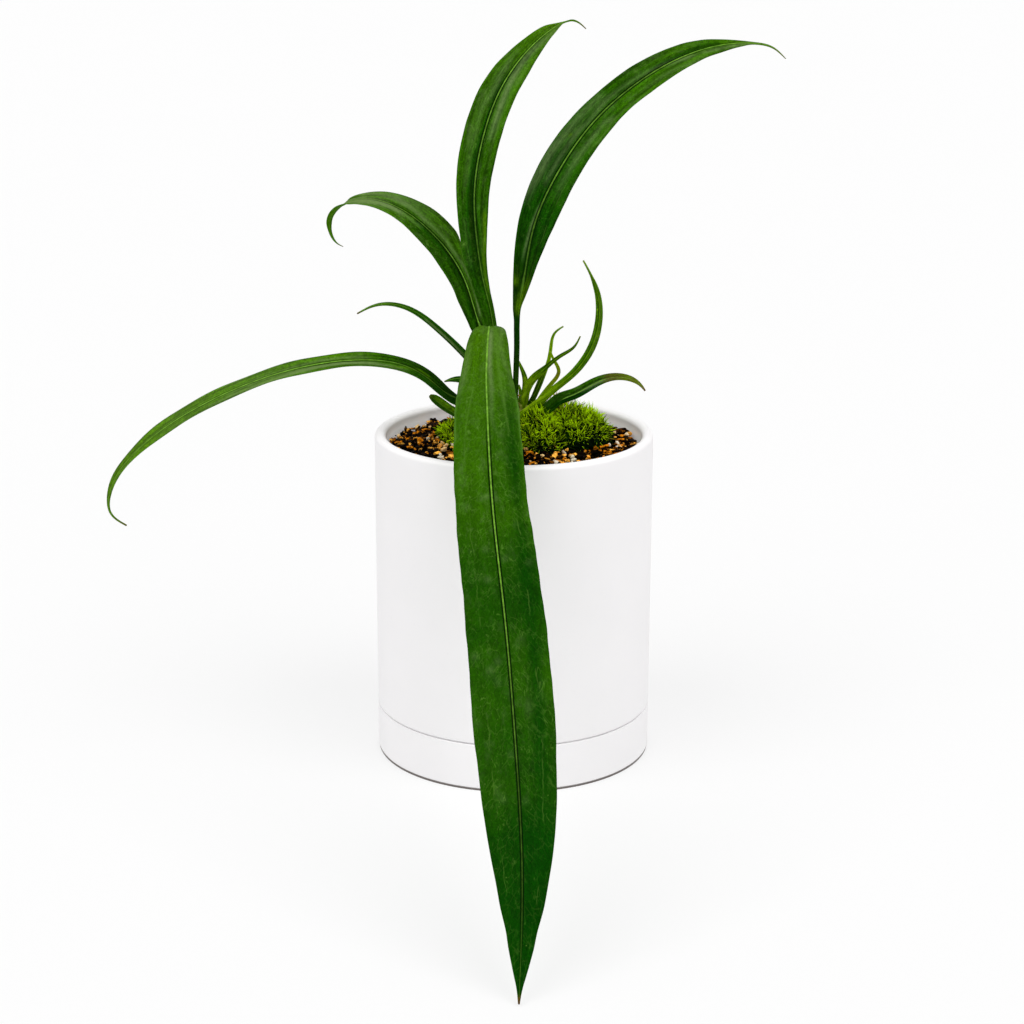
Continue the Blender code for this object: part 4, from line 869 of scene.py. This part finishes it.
def leaf_piece(name, leaf, number):
    """One fine closed blade with its petiole, and the numbers its material reads."""
    draw = np.random.default_rng(SEED + number)
    places, ways, length = smooth_line(leaf["spine"], ROW_STEP)
    share = np.linspace(0, 1, len(places))
    along = share * length
    facing = eased(leaf["facing"], share)
    normals = facing - (facing * ways).sum(axis=1)[:, None] * ways
    normals /= np.linalg.norm(normals, axis=1)[:, None]
    sides = np.cross(ways, normals)
    half = eased(leaf["outline"], share)
    halves = half[:, 0]
    opening = np.clip((share - leaf["petiole"]) / BLADE_OPENING, 0, 1)
    opening = opening * opening * (3 - 2 * opening)
    blade = opening[:, None]
    columns = 2 * max(FEWEST_COLUMNS, int(halves.max() / COLUMN_STEP)) + 1
    across = column_places(halves, columns)
    signed = across / half

    rise = blade_rise(leaf, share, along, across, half, blade, draw)
    margin = MARGIN_STRAY * wobble(along / 7, draw) * opening * np.clip(halves / FULL_WAVE_WIDTH, 0, 1)
    narrow = 1 + margin[:, None] * np.abs(signed) ** 4
    skew = 1 - station_line(leaf, "skew", share) * np.sign(across)
    flat = across * skew * narrow * (blade * cos(radians(leaf["fold"])) + 1 - blade)
    middle = places[:, None] + flat[..., None] * sides[:, None] + rise[..., None] * normals[:, None]
    *heights, breadth = blade_skins(leaf, share, across, half, blade)
    skins = [middle + height[..., None] * normals[:, None] for height in heights]
    points = np.concatenate([np.concatenate([skin[:1] - BASE_REACH * ways[0], skin]) for skin in skins])

    side = np.clip(signed * SIDE_BLEND, -1, 1) / 2 + 0.5
    # Painted light and shade: each half's tone along the leaf; the tone strokes add to it.
    tone = eased(leaf["tone"], share)
    tone = tone[:, :1] * (1 - side) + tone[:, 1:] * side
    young, dry, rib_shade, light = (station_line(leaf, key, share) for key in ("young", "dry", "rib_shade", "light"))
    paint = painted(name, share, signed, length)

    def both(grid):
        grid = np.broadcast_to(grid, across.shape)
        grid = np.concatenate([grid[:1], grid])
        return np.concatenate([grid.ravel(), grid.ravel()])

    values = dict(across=across, along=along[:, None] + LEAF_SHIFT * number, edge=half - np.abs(across),
                  signed=signed, rib=np.abs(across) / breadth + 1.5 * (1 - blade), light=light,
                  tone=tone + paint["tone"], painted_sheen=paint["painted_sheen"], dark=paint["dark"], pale=paint["pale"],
                  rib_shade=np.minimum(1, half / 8) * rib_shade, young=young + paint["young"], dry=dry)
    values = {key: both(grid) for key, grid in values.items()}
    values["under"] = np.repeat([0, 1], len(points) // 2 * columns)
    faces = sheet_faces(len(places) + 1, columns)
    return link(name + "_blade", mesh_of(name + "_blade", points, faces, **values))


def turned(name, profile, closed):
    """The solid swept by a profile of (radius, height) points about the Z axis."""
    profile = np.array(profile, float)
    turns = np.linspace(0, tau, TURNS, endpoint=False)
    points = np.stack([profile[:, None, 0] * np.cos(turns), profile[:, None, 0] * np.sin(turns),
                       np.broadcast_to(profile[:, None, 1], (len(profile), TURNS))], -1)
    index = np.arange(len(profile) * TURNS).reshape(len(profile), TURNS)
    last = index if closed else index[:-1]
    after = np.roll(index, -1, axis=0) if closed else index[1:]
    faces = [np.stack([last, np.roll(last, -1, 1), np.roll(after, -1, 1), after], -1).reshape(-1, 4)]
    if not closed:
        faces += [index[0, ::-1][None], index[-1][None]]
    return link(name, mesh_of(name, points, faces))


def arc(centre, radius, start, end, steps):
    turns = np.linspace(radians(start), radians(end), steps + 1)
    return [(centre[0] + radius * cos(t), centre[1] + radius * sin(t)) for t in turns]


def ceramic(name, tone):
    """Satin white glaze, faintly clouded, with a bare clay foot darkened as painted contact shade, a band
    of painted shade inside under the lip, and a painted glow inside and on the lip's top.
    """
    g = Graph(name, Specular_IOR_Level=0.35, Coat_Weight=0.12, Coat_Roughness=0.25, Emission_Strength=1.0)
    place = g.object_place()
    height, cloud = g.height(place), g.noise(place, 28, 3)
    white = g.mix(g.fade(cloud, 0.3, 0.7), tone, scaled(tone, 0.985))
    white = g.mix(g.fade(g.noise(place, 420, 2), 0.66, 0.74, 0, 0.35), white, scaled(tone, 0.95))
    out = g.node("VectorMath", dict(operation="LENGTH"))
    g.put(out.inputs[0], g.stretched(place, (1, 1, 0)))
    inside = g.fade_over(out.outputs["Value"], INSIDE_SPAN, 1, 0)
    # Painted shade: a warm grey band inside the pot, darkest just under the lip.
    lip_shade = g.times(inside, g.fade_over(height, LIP_SHADE_SPAN, 0.08, 0.22))
    white = g.mix(lip_shade, white, tuple(c * s for c, s in zip(tone, LIP_SHADE)))
    # Painted light: a faint glow inside, strongest low down by the mix, and a glow on the lip's top.
    painted_glow = g.times(inside, g.fade_over(height, INNER_GLOW_SPAN, 0.2, 0.03))
    painted_glow = g.plus(painted_glow, g.fade_over(height, LIP_GLOW_SPAN, 0, 0.13))
    g.put(g.shader.inputs["Emission Color"], g.mix(painted_glow, (0.0, 0.0, 0.0), PAINTED_GLOW))
    # The bare clay foot, coloured near black as painted contact shade.
    white = g.mix(g.fade_over(height, CLAY_AND_SHADE_SPAN, 1, 0), white, CLAY_AND_SHADE)
    g.bump(g.plus(g.noise(place, 160, 2), g.times(cloud, 1.5)), 0.05, 0.35)
    return g.paint(white, g.fade(cloud, 0.3, 0.7, 0.34, 0.42))


def pot_profile():
    """The pot's section as (radius, height), from its foot up the outside and down the inside."""
    ledge = SEAM_HEIGHT - SEAM_GAP / 2 + LEDGE_CLEAR
    shoulder = SEAM_HEIGHT + SEAM_GAP / 2
    cut = SEAM_HEIGHT + INNER_CUT
    lip = POT_WALL / 2
    under_lip = POT_HEIGHT - lip - LIP_FADE
    profile = [(DRAIN_RADIUS, FOOT_RECESS), (FOOT_RADIUS - FOOT_RING, FOOT_RECESS),
               (FOOT_RADIUS - FOOT_RING + FOOT_BEVEL, FOOT_STAND), (FOOT_RADIUS - FOOT_BEVEL, FOOT_STAND),
               (FOOT_RADIUS, FOOT_STAND + FOOT_BEVEL), (FOOT_RADIUS, ledge), (LEDGE_RADIUS, ledge),
               (LEDGE_RADIUS, shoulder)]
    profile += arc((POT_RADIUS - SEAM_EDGE, shoulder + SEAM_EDGE), SEAM_EDGE, -90, 0, 4)
    profile += [(POT_RADIUS, z) for z in np.linspace(shoulder + 4, under_lip, 8)]
    profile += arc((POT_RADIUS - lip, POT_HEIGHT - lip), lip, 0, 180, 18)
    wall = POT_RADIUS - POT_WALL
    return profile + [(wall, under_lip), (wall, cut + SHOULDER_RISE), (INNER_FOOT, cut),
                      (INNER_FOOT, POT_FLOOR_TOP + INNER_CUT), (INNER_FOOT - INNER_CUT, POT_FLOOR_TOP),
                      (DRAIN_RADIUS, POT_FLOOR_TOP)]


def saucer_profile():
    """The saucer's section as (radius, height), from under its floor round its wall to its floor."""
    rim = SEAM_HEIGHT - SEAM_GAP / 2
    inner = POT_RADIUS - SAUCER_WALL
    profile = [(SAUCER_HUB, 0), (FOOT_LINE_RADIUS, 0), (FOOT_LINE_RADIUS, FOOT_LINE)]
    profile += arc((POT_RADIUS - SAUCER_EDGE, SAUCER_EDGE + FOOT_LINE), SAUCER_EDGE, -90, 0, 6)
    profile += [(POT_RADIUS, rim / 2)]
    profile += arc((POT_RADIUS - SEAM_EDGE, rim - SEAM_EDGE), SEAM_EDGE, 0, 90, 4)
    profile += arc((inner + SEAM_EDGE, rim - SEAM_EDGE), SEAM_EDGE, 90, 180, 4)
    return profile + [(inner, SAUCER_FLOOR + 1), (inner - 1, SAUCER_FLOOR), (SAUCER_HUB, SAUCER_FLOOR)]


def pot_pieces():
    look = ceramic("white_ceramic", WHITE)
    finish_piece(turned("pot_glazed", pot_profile(), True), look, "pot")
    finish_piece(turned("saucer_glazed", saucer_profile(), False), look, "saucer")


def cad_surface(node):
    """A search tree of a CAD node's triangles."""
    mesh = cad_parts[node].data
    return BVHTree.FromPolygons([v.co.copy() for v in mesh.vertices],
                                [tuple(p.vertices) for p in mesh.polygons])


def ground_height(tree, x, y):
    hit = tree.ray_cast(Vector((x * MM, y * MM, 0.3)), Vector((0, 0, -1)))
    return hit[0].z / MM if hit[0] else MIX_LEVEL


def hex_disc(rings):
    """A disc of near-equal triangles: its places in a unit circle, faces and rim."""
    steps = [(q, r) for q in range(-rings, rings + 1) for r in range(-rings, rings + 1)
             if abs(q + r) <= rings]
    index = {step: i for i, step in enumerate(steps)}
    places, ring_of = [], []
    for q, r in steps:
        ring = max(abs(q), abs(r), abs(q + r))
        x, y = q + r / 2, r * 3 ** 0.5 / 2
        reach = (x * x + y * y) ** 0.5
        scale = ring / rings / reach if reach else 0
        places.append((x * scale, y * scale))
        ring_of.append(ring)
    faces = []
    for q, r in steps:
        if (q + 1, r) in index and (q, r + 1) in index:
            faces.append((index[(q, r)], index[(q + 1, r)], index[(q, r + 1)]))
        if (q + 1, r) in index and (q + 1, r - 1) in index:
            faces.append((index[(q, r)], index[(q + 1, r - 1)], index[(q + 1, r)]))
    rim = [i for i, ring in enumerate(ring_of) if ring == rings]
    rim.sort(key=lambda i: np.arctan2(places[i][1], places[i][0]))
    return np.array(places), faces, np.array(rim)


def ball(level):
    """Unit points and triangles of a round body."""
    work = bmesh.new()
    bmesh.ops.create_icosphere(work, subdivisions=level, radius=1)
    points = np.array([v.co[:] for v in work.verts])
    faces = np.array([[v.index for v in f.verts] for f in work.faces])
    work.free()
    return points, faces


def swarm(name, bodies, faces, smooth, **values):
    """One mesh of many like bodies: bodies is count by points by three."""
    count, size = bodies.shape[:2]
    step = (np.arange(count) * size)[:, None, None]
    whole = [(np.asarray(f)[None] + step).reshape(-1, np.asarray(f).shape[1]) for f in faces]
    return link(name, mesh_of(name, bodies, whole, smooth, **values))


def random_turns(draw, count, lean):
    """Random rotations, count by three by three, that tip the Z axis by up to lean."""
    spin, tip, way = draw.uniform(0, tau, count), draw.uniform(0, lean, count), draw.uniform(0, tau, count)
    turns = []
    for s, t, w in zip(spin, tip, way):
        turn = Matrix.Rotation(t, 3, Vector((cos(w), sin(w), 0))) @ Matrix.Rotation(s, 3, "Z")
        turns.append(np.array(turn))
    return np.array(turns)


def bark_material(name, dark, warm, light):
    """Bark with painted shade: it turns black in the gaps, below the level of the mix."""
    g = Graph(name, Specular_IOR_Level=0.02)
    place = g.object_place()
    grain = g.noise(place, 900, 4, 0.65, 0.8)
    blot = g.noise(place, 420, 3, 0.6)
    share = g.plus(g.value("tint"), g.times(g.past(blot, 0.5), 0.8))
    colour = g.mix(g.fade(share, 0.3, 0.6), dark, warm)
    colour = g.mix(g.fade(share, 0.65, 0.95), colour, light)
    colour = g.shade(colour, g.fade(grain, 0.35, 0.65, 0.4, 2.0))
    # Painted shade in the gaps, below the mix's level.
    colour = g.shade(colour, g.fade_over(g.height(place), GAP_SHADE_SPAN, 0.03, 1))
    g.bump(grain, 0.35, 0.8)
    return g.paint(colour, g.fade(grain, 0.3, 0.7, 0.3, 0.7))


def pumice_material():
    g = Graph("pumice", Specular_IOR_Level=0.15)
    place, tint = g.object_place(), g.value("tint")
    pore, stain = g.cells(place, 2200), g.noise(place, 420, 3, 0.6)
    colour = g.mix(g.fade(tint, 0.2, 0.5), (0.98, 0.88, 0.68), (0.95, 0.64, 0.27))
    colour = g.mix(g.fade(tint, 0.6, 0.9), colour, (0.75, 0.34, 0.04))
    colour = g.mix(g.fade(stain, 0.52, 0.68, 0, 0.75), colour, (0.26, 0.10, 0.02))
    colour = g.mix(g.fade(pore, 0.1, 0.35, 0.3, 0), colour, (0.10, 0.045, 0.01))
    g.bump(g.plus(pore, stain), 0.22, 0.7)
    return g.paint(colour, 0.35)


def mix_bed(draw, tree):
    """The mix's rough top on the solid's, near black as painted shade in the gaps between the chips, and its
    walls down inside the pot.
    """
    unit, faces, rim = hex_disc(MIX_RINGS)
    plan = unit * MIX_RADIUS
    x, y = plan.T
    bumps = BED_BUMP * np.sin(x * 1.9 + 1.3 * np.sin(y)) * np.cos(y * 1.7)
    bumps += draw.uniform(-BED_BUMP, BED_BUMP, len(plan))
    height = np.array([ground_height(tree, *spot) for spot in plan * 0.995])
    gap = np.hypot(x - CROWN_PLACE[0], y - CROWN_PLACE[1])
    height = np.where(height < MIX_LEVEL - 4, MIX_LEVEL, height)
    height = np.where((height > MIX_LEVEL + 3) | (gap < CROWN_CLEAR), MIX_LEVEL, height) + bumps - BED_SINK
    points, walls = [np.column_stack([plan, height])], [np.array(faces)]
    above, start = rim, len(plan)
    for radius, z in ((MIX_RADIUS, 34.5), (INNER_FOOT - 0.3, 25.3), (INNER_FOOT - 0.3, 13.6),
                      (INNER_FOOT - 2.3, 11.6)):
        points.append(np.column_stack([plan[rim] / MIX_RADIUS * radius, np.full(len(rim), z)]))
        below = np.arange(start, start + len(rim))
        walls.append(np.stack([above, below, np.roll(below, -1), np.roll(above, -1)], -1))
        above, start = below, start + len(rim)
    walls.append(above[::-1][None])
    tint = np.concatenate([draw.uniform(0, 0.45, len(plan)), np.zeros(start - len(plan))])
    bed = link("mix_bed", mesh_of("mix_bed", np.concatenate(points), walls, False, tint=tint))
    look = bark_material("bark_mix_bed", (0.003, 0.0012, 0.0004), (0.03, 0.012, 0.003), (0.10, 0.045, 0.01))
    finish_piece(bed, look, "potting_mix")


def scatter(draw, tree, count, reach, clear):
    """Spots on the mix, clear of the rim and the crown, as (x, y, size, height)."""
    found = []
    while len(found) < count:
        x, y = draw.uniform(-MIX_RADIUS, MIX_RADIUS, 2)
        size = draw.uniform(*reach)
        if np.hypot(x, y) + size > MIX_RADIUS - 0.3:
            continue
        if np.hypot(x - CROWN_PLACE[0], y - CROWN_PLACE[1]) < CROWN_CLEAR + size:
            continue
        found.append((x, y, size, ground_height(tree, x, y) + clear * size))
    return np.array(found)


def roughened(draw, bodies, amount):
    return bodies * (1 + amount * draw.standard_normal((*bodies.shape[:2], 1)).clip(-1.5, 1.5))


def strewn(name, bodies, turns, spots, lift, faces, smooth, tint):
    """A swarm of bodies, each turned and moved to its spot, with its lift and its tint."""
    bodies = np.einsum("nij,nkj->nki", turns, bodies)
    bodies += np.column_stack([spots[:, :2], spots[:, 3] + lift])[:, None]
    return swarm(name, bodies, [faces], smooth, tint=np.repeat(tint, bodies.shape[1]))


def bark_chips(draw, tree):
    points, faces = ball(2)
    chips = scatter(draw, tree, 2200, (0.75, 1.75), 0.0)
    hand_set = len(CHUNKS)
    chips[:hand_set] = CHUNKS
    scale = draw.uniform((0.85, 0.45, 0.25), (1.45, 0.8, 0.55), (len(chips), 3))
    scale[:hand_set] = CHUNK_SCALE
    bodies = (np.sign(points) * np.abs(points) ** 0.75)[None] * (chips[:, 2, None, None] * scale[:, None])
    bodies = roughened(draw, bodies, 0.13)
    turns, lift = random_turns(draw, len(chips), 0.8), draw.uniform(-1.2, 1.3, len(chips))
    lift[:hand_set] = 0
    tint = draw.choice((0.05, 0.3, 0.55, 0.9), len(chips), p=(0.48, 0.18, 0.22, 0.12))
    tint[:hand_set] = CHUNK_TINT
    look = bark_material("bark_chip", BARK_DARK, BARK_WARM, (0.98, 0.48, 0.07))
    finish_piece(strewn("bark_chips", bodies, turns, chips, lift, faces, False, tint), look)


def bark_crumbs(draw, tree):
    points, faces = ball(1)
    crumbs = scatter(draw, tree, 3000, (0.35, 0.9), 0.1)
    scale = draw.uniform((0.8, 0.5, 0.4), (1.4, 1.0, 0.8), (len(crumbs), 3))
    bodies = roughened(draw, points[None] * (crumbs[:, 2, None, None] * scale[:, None]), 0.18)
    turns, lift = random_turns(draw, len(crumbs), pi), draw.uniform(-1.2, 0.7, len(crumbs))
    tint = draw.uniform(0, 1, len(crumbs)) ** 1.6
    look = bark_material("bark_crumb", BARK_DARK, BARK_WARM, (0.98, 0.52, 0.09))
    finish_piece(strewn("bark_crumbs", bodies, turns, crumbs, lift, faces, False, tint), look)


def pumice_grains(draw, tree):
    points, faces = ball(3)
    grains = np.concatenate([np.array(SPECKS), scatter(draw, tree, 150, (0.65, 1.45), 0.35)])
    scale = draw.uniform((0.85, 0.6, 0.5), (1.35, 1.0, 0.8), (len(grains), 3))
    bodies = points[None] * (grains[:, 2, None, None] * scale[:, None])
    for _ in range(6):
        way = draw.standard_normal((len(grains), 3)) * 2.4
        push = np.sin(np.einsum("nj,kj->nk", way, points) + draw.uniform(0, tau, (len(grains), 1)))
        bodies *= 1 + 0.09 * push[..., None]
    turns = random_turns(draw, len(grains), pi)
    tint = draw.uniform(0, 1, len(grains)) ** 1.4
    made = strewn("pumice_grains", bodies, turns, grains, 0.8, faces, True, tint)
    finish_piece(made, pumice_material())


def cushion_height(spots, moss):
    heights = []
    for x, y, radius, height in moss["lumps"]:
        share = np.hypot(spots[:, 0] - x, spots[:, 1] - y) / radius
        heights.append(height * np.clip(1 - share ** 2, 0, 1) ** MOSS_SHOULDER)
    return np.max(heights, axis=0)


def moss_material():
    g = Graph("moss_green", Specular_IOR_Level=0.02, Roughness=0.6)
    tip, tint, brown = g.value("tip"), g.value("tint"), g.value("brown")
    bright = g.mix(g.fade(tint, 0.17, 0.5), (0.006, 0.045, 0.0002), (0.62, 1.0, 0.004))
    # Strands darken to near black at their roots: partly their older colour, partly painted shade deep in
    # the cushion.
    colour = g.mix(g.fade(tip, 0.22, 0.86), (0.0005, 0.0035, 0.0001), bright)
    colour = g.mix(g.math("MULTIPLY", brown, g.fade(tip, 0.2, 0.7)), colour, (0.52, 0.36, 0.03))
    return g.paint(colour)


def cushion_spots(moss, draw):
    """Tuft places on a cushion, none nearer than its gap, as plan place and height."""
    lumps = np.array(moss["lumps"], float)
    low = (lumps[:, :2] - lumps[:, 2:3]).min(0)
    high = (lumps[:, :2] + lumps[:, 2:3]).max(0)
    tries = draw.uniform(low, high, (MOSS_TRIES, 2))
    tries = np.column_stack([tries, cushion_height(tries, moss)])
    found = []
    for spot in tries[tries[:, 2] > MOSS_LOWEST]:
        if not found or np.linalg.norm(np.array(found) - spot, axis=1).min() > moss["gap"]:
            found.append(spot)
    return np.array(found)


def unit_rows(vectors):
    return vectors / np.linalg.norm(vectors, axis=1)[:, None]


def cushion_normals(spots, moss, draw):
    """Directions out of the cushion at each spot, a little scattered."""
    slope = [(cushion_height(spots + step, moss) - cushion_height(spots - step, moss)) / (2 * SLOPE_STEP)
             for step in (np.array((SLOPE_STEP, 0)), np.array((0, SLOPE_STEP)))]
    slope = np.column_stack(slope).clip(-MOSS_STEEPEST, MOSS_STEEPEST)
    normal = unit_rows(np.column_stack([-slope, np.ones(len(spots))]))
    return unit_rows(normal + draw.standard_normal(normal.shape) * 0.14)


def strands(roots, axes, length, draw):
    """Points of the tapered strands, count by ten by three, leaning out of their tufts and bending up."""
    count = len(roots)
    around = draw.standard_normal((count, 3))
    around = unit_rows(around - (around * axes).sum(1)[:, None] * axes)
    tip_out = np.radians(8 + 72 * draw.uniform(0, 1, count) ** 0.75)[:, None]
    way = axes * np.cos(tip_out * 0.6) + around * np.sin(tip_out * 0.6)
    bend = (axes * np.cos(tip_out) + around * np.sin(tip_out)) - way + (0, 0, 0.12)
    bend += draw.standard_normal((count, 3)) * 0.12
    length = length[0] * draw.uniform(0.6, 1.15, count)[:, None] * length[1][:, None]
    side = unit_rows(np.cross(way, draw.standard_normal((count, 3))))
    other = np.cross(way, side)
    width = draw.uniform(*STRAND_WIDTH, count)[:, None]
    rings = []
    for at, scale in STRAND_RINGS:
        middle = roots + way * length * at + bend * length * at * at
        for turn in (0, tau / 3, 2 * tau / 3):
            rings.append(middle + width * scale * (cos(turn) * side + 0.6 * sin(turn) * other))
    return np.stack([*rings, roots + (way + bend) * length], 1)


def moss_tints(moss, roots, tops, draw):
    """How bright and how brown each strand is: darker low down and in wavy patches as painted shade, brown
    in the old part.
    """
    each = moss["strands"]
    count = len(roots)
    x, y, z = roots.T
    # Painted shade: darker in wavy patches and low down on the cushion.
    painted_moss_shade = 0.5 + 0.5 * np.sin(0.62 * x + 1.4 * np.sin(0.45 * y) + 0.35 * z)
    painted_moss_shade = (0.38 + 0.62 * painted_moss_shade) * np.clip((z - MIX_LEVEL + 0.5) / (0.27 * tops.max()), 0.3, 1)
    tint = np.repeat(draw.uniform(0, 0.4, len(tops)), each) + draw.uniform(0.05, 0.85, count)
    (old_x, old_y), reach = moss["old"]
    aged = np.hypot(x - old_x, y - old_y) < reach
    aged |= (x > 33) & (y > 12) & (draw.uniform(0, 1, count) < 0.2)
    brown = (draw.uniform(0, 1, count) < 0.015) | aged & (draw.uniform(0, 1, count) < 0.6)
    return tint * painted_moss_shade, brown * 0.85


def moss_piece(name, moss, material):
    """A near-black cushion, its own dark base and painted shade deep in the moss, and over it star-like
    tufts of short tapered strands.
    """
    draw = np.random.default_rng(SEED + len(name) * 7)
    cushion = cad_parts[name].data
    bed = np.array([v.co[:] for v in cushion.vertices]) / MM
    low = bed[:, 2].min()
    centre = (bed.min(0) + bed.max(0)) / 2
    bed[:, :2] = centre[:2] + (bed[:, :2] - centre[:2]) * BED_SHRINK
    bed[:, 2] = low + (bed[:, 2] - low) * BED_FLATTEN

    found = cushion_spots(moss, draw)
    spots, tops = found[:, :2], found[:, 2]
    normal = cushion_normals(spots, moss, draw)
    grown = draw.uniform(0.75, 1.2, len(spots))
    roots = np.column_stack([spots, MIX_LEVEL + 0.9 + tops]) + normal * (grown[:, None] * 1.1 - 2.6)
    each = moss["strands"]
    roots, axes = np.repeat(roots, each, axis=0), np.repeat(normal, each, axis=0)
    bodies = strands(roots, axes, (moss["length"], np.repeat(grown, each)), draw)
    tint, brown = moss_tints(moss, roots, tops, draw)

    quads = [[level + i, level + j, level + 3 + j, level + 3 + i] for level in (0, 3)
             for i, j in ((0, 1), (1, 2), (2, 0))]
    step = (np.arange(len(roots)) * STRAND_POINTS)[:, None, None] + len(bed)
    faces = [np.array([list(p.vertices)]) for p in cushion.polygons]
    faces += [(np.array(quads)[None] + step).reshape(-1, 4),
              (np.array(STRAND_ENDS)[None] + step).reshape(-1, 3)]
    tips = [at for at, _ in STRAND_RINGS for _ in range(3)] + [1.0]
    grown_values = dict(tip=np.tile(tips, len(roots)), tint=np.repeat(tint, STRAND_POINTS),
                        brown=np.repeat(brown, STRAND_POINTS))
    values = {key: np.concatenate([np.zeros(len(bed)), value]) for key, value in grown_values.items()}
    points = np.concatenate([bed, bodies.reshape(-1, 3)])
    made = link(name + "_tufts", mesh_of(name + "_tufts", points, faces, **values))
    finish_piece(made, material, name)


def crown_material():
    """Brown fibres at the foot that turn green higher up."""
    g = Graph("crown_stem", Specular_IOR_Level=0.25)
    place = g.object_place()
    fibre = g.noise(g.stretched(place, (1, 1, 0.18)), 1500, 3, 0.6)
    blot = g.noise(place, 260, 3)
    colour = g.mix(g.fade_over(g.height(place), BARK_SPAN), (0.10, 0.055, 0.018), (0.26, 0.30, 0.035))
    colour = g.mix(g.fade(blot, 0.5, 0.7, 0, 0.7), colour, (0.30, 0.17, 0.045))
    colour = g.mix(g.fade(fibre, 0.5, 0.75, 0, 0.6), colour, (0.06, 0.03, 0.008))
    g.bump(fibre, 0.3, 0.8)
    return g.paint(colour, 0.6)


def crown_piece():
    """The crown's solid, remeshed fine, with fibres along it and rings round it."""
    source = link("crown_source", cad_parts["crown"].data.copy())
    remesh = source.modifiers.new("fine", "REMESH")
    remesh.mode = "VOXEL"
    remesh.voxel_size = CROWN_VOXEL * MM
    smooth = source.modifiers.new("soft", "SMOOTH")
    smooth.factor = 0.5
    smooth.iterations = 4
    seen = source.evaluated_get(bpy.context.evaluated_depsgraph_get())
    mesh = bpy.data.meshes.new_from_object(seen)
    bpy.data.objects.remove(source)
    mesh.name = "crown_stem"
    points = np.array([v.co[:] for v in mesh.vertices]) / MM
    normals = np.array([v.normal[:] for v in mesh.vertices])
    x, y, z = points.T
    turn = np.arctan2(y - CROWN_PLACE[1], x - CROWN_PLACE[0])
    fibre = np.sin(turn * 41 + z * 0.9) * 0.10 + np.sin(turn * 17 + z * 0.4) * 0.14
    ring = 0.12 * np.sin(z * 2.3 + np.sin(turn * 3))
    points = points + normals * (fibre + ring)[:, None]
    mesh.vertices.foreach_set("co", (points * MM).astype(np.float32).ravel())
    mesh.update()
    mesh.shade_smooth()
    finish_piece(link("crown_stem", mesh), crown_material(), "crown")


def studio():
    """A wide pale floor under an even sky, with two soft lights high at the front left and right."""
    corners = np.array([(-1, -1, 0), (1, -1, 0), (1, 1, 0), (-1, 1, 0)]) * FLOOR_REACH
    floor = link("floor", mesh_of("floor", corners, [np.array([[0, 1, 2, 3]])]))
    g = Graph("floor", Roughness=0.9, Specular_IOR_Level=0.0, Emission_Strength=FLOOR_GLOW)
    g.shader.inputs["Emission Color"].default_value = (1, 1, 1, 1)
    tone = (FLOOR_WHITE - FLOOR_GLOW) / FLOOR_LIGHT
    cloud = g.noise(g.object_place(), 3, 2)
    floor.data.materials.append(g.paint(g.mix(cloud, (tone,) * 3, (tone + FLOOR_CLOUD,) * 3)))
    world = bpy.data.worlds.new("studio")
    world.use_nodes = True
    back = world.node_tree.nodes["Background"]
    back.inputs["Color"].default_value = (1, 1, 1, 1)
    back.inputs["Strength"].default_value = SKY
    bpy.context.scene.world = world
    for name, (around, above, power, angle) in LIGHTS.items():
        data = bpy.data.lights.new(name, "SUN")
        data.energy = power
        data.angle = radians(angle)
        link(name, data).rotation_euler = (radians(90 - above), 0, radians(around))
    bpy.context.scene.view_settings.view_transform = "Standard"


def leaf_look(name):
    if name == "leaf_front_long":
        return "broad"
    return "young" if name.startswith(("shoot", "dried")) or name == "leaf_right_upright" else "silky"


camera()
studio()
pot_pieces()
mix_draw, mix_top = np.random.default_rng(SEED + 100), cad_surface("potting_mix")
for part_of_mix in (mix_bed, bark_chips, bark_crumbs, pumice_grains):
    part_of_mix(mix_draw, mix_top)
moss_look = moss_material()
for name, moss in MOSSES.items():
    moss_piece(name, moss, moss_look)
crown_piece()
materials = {look: leaf_material(look + "_leaf_green", **tones) for look, (slot, tones) in LOOKS.items()}
for number, (name, leaf) in enumerate(LEAVES.items()):
    look = leaf_look(name)
    finish_piece(leaf_piece(name, USUAL | leaf, number), materials[look], name)
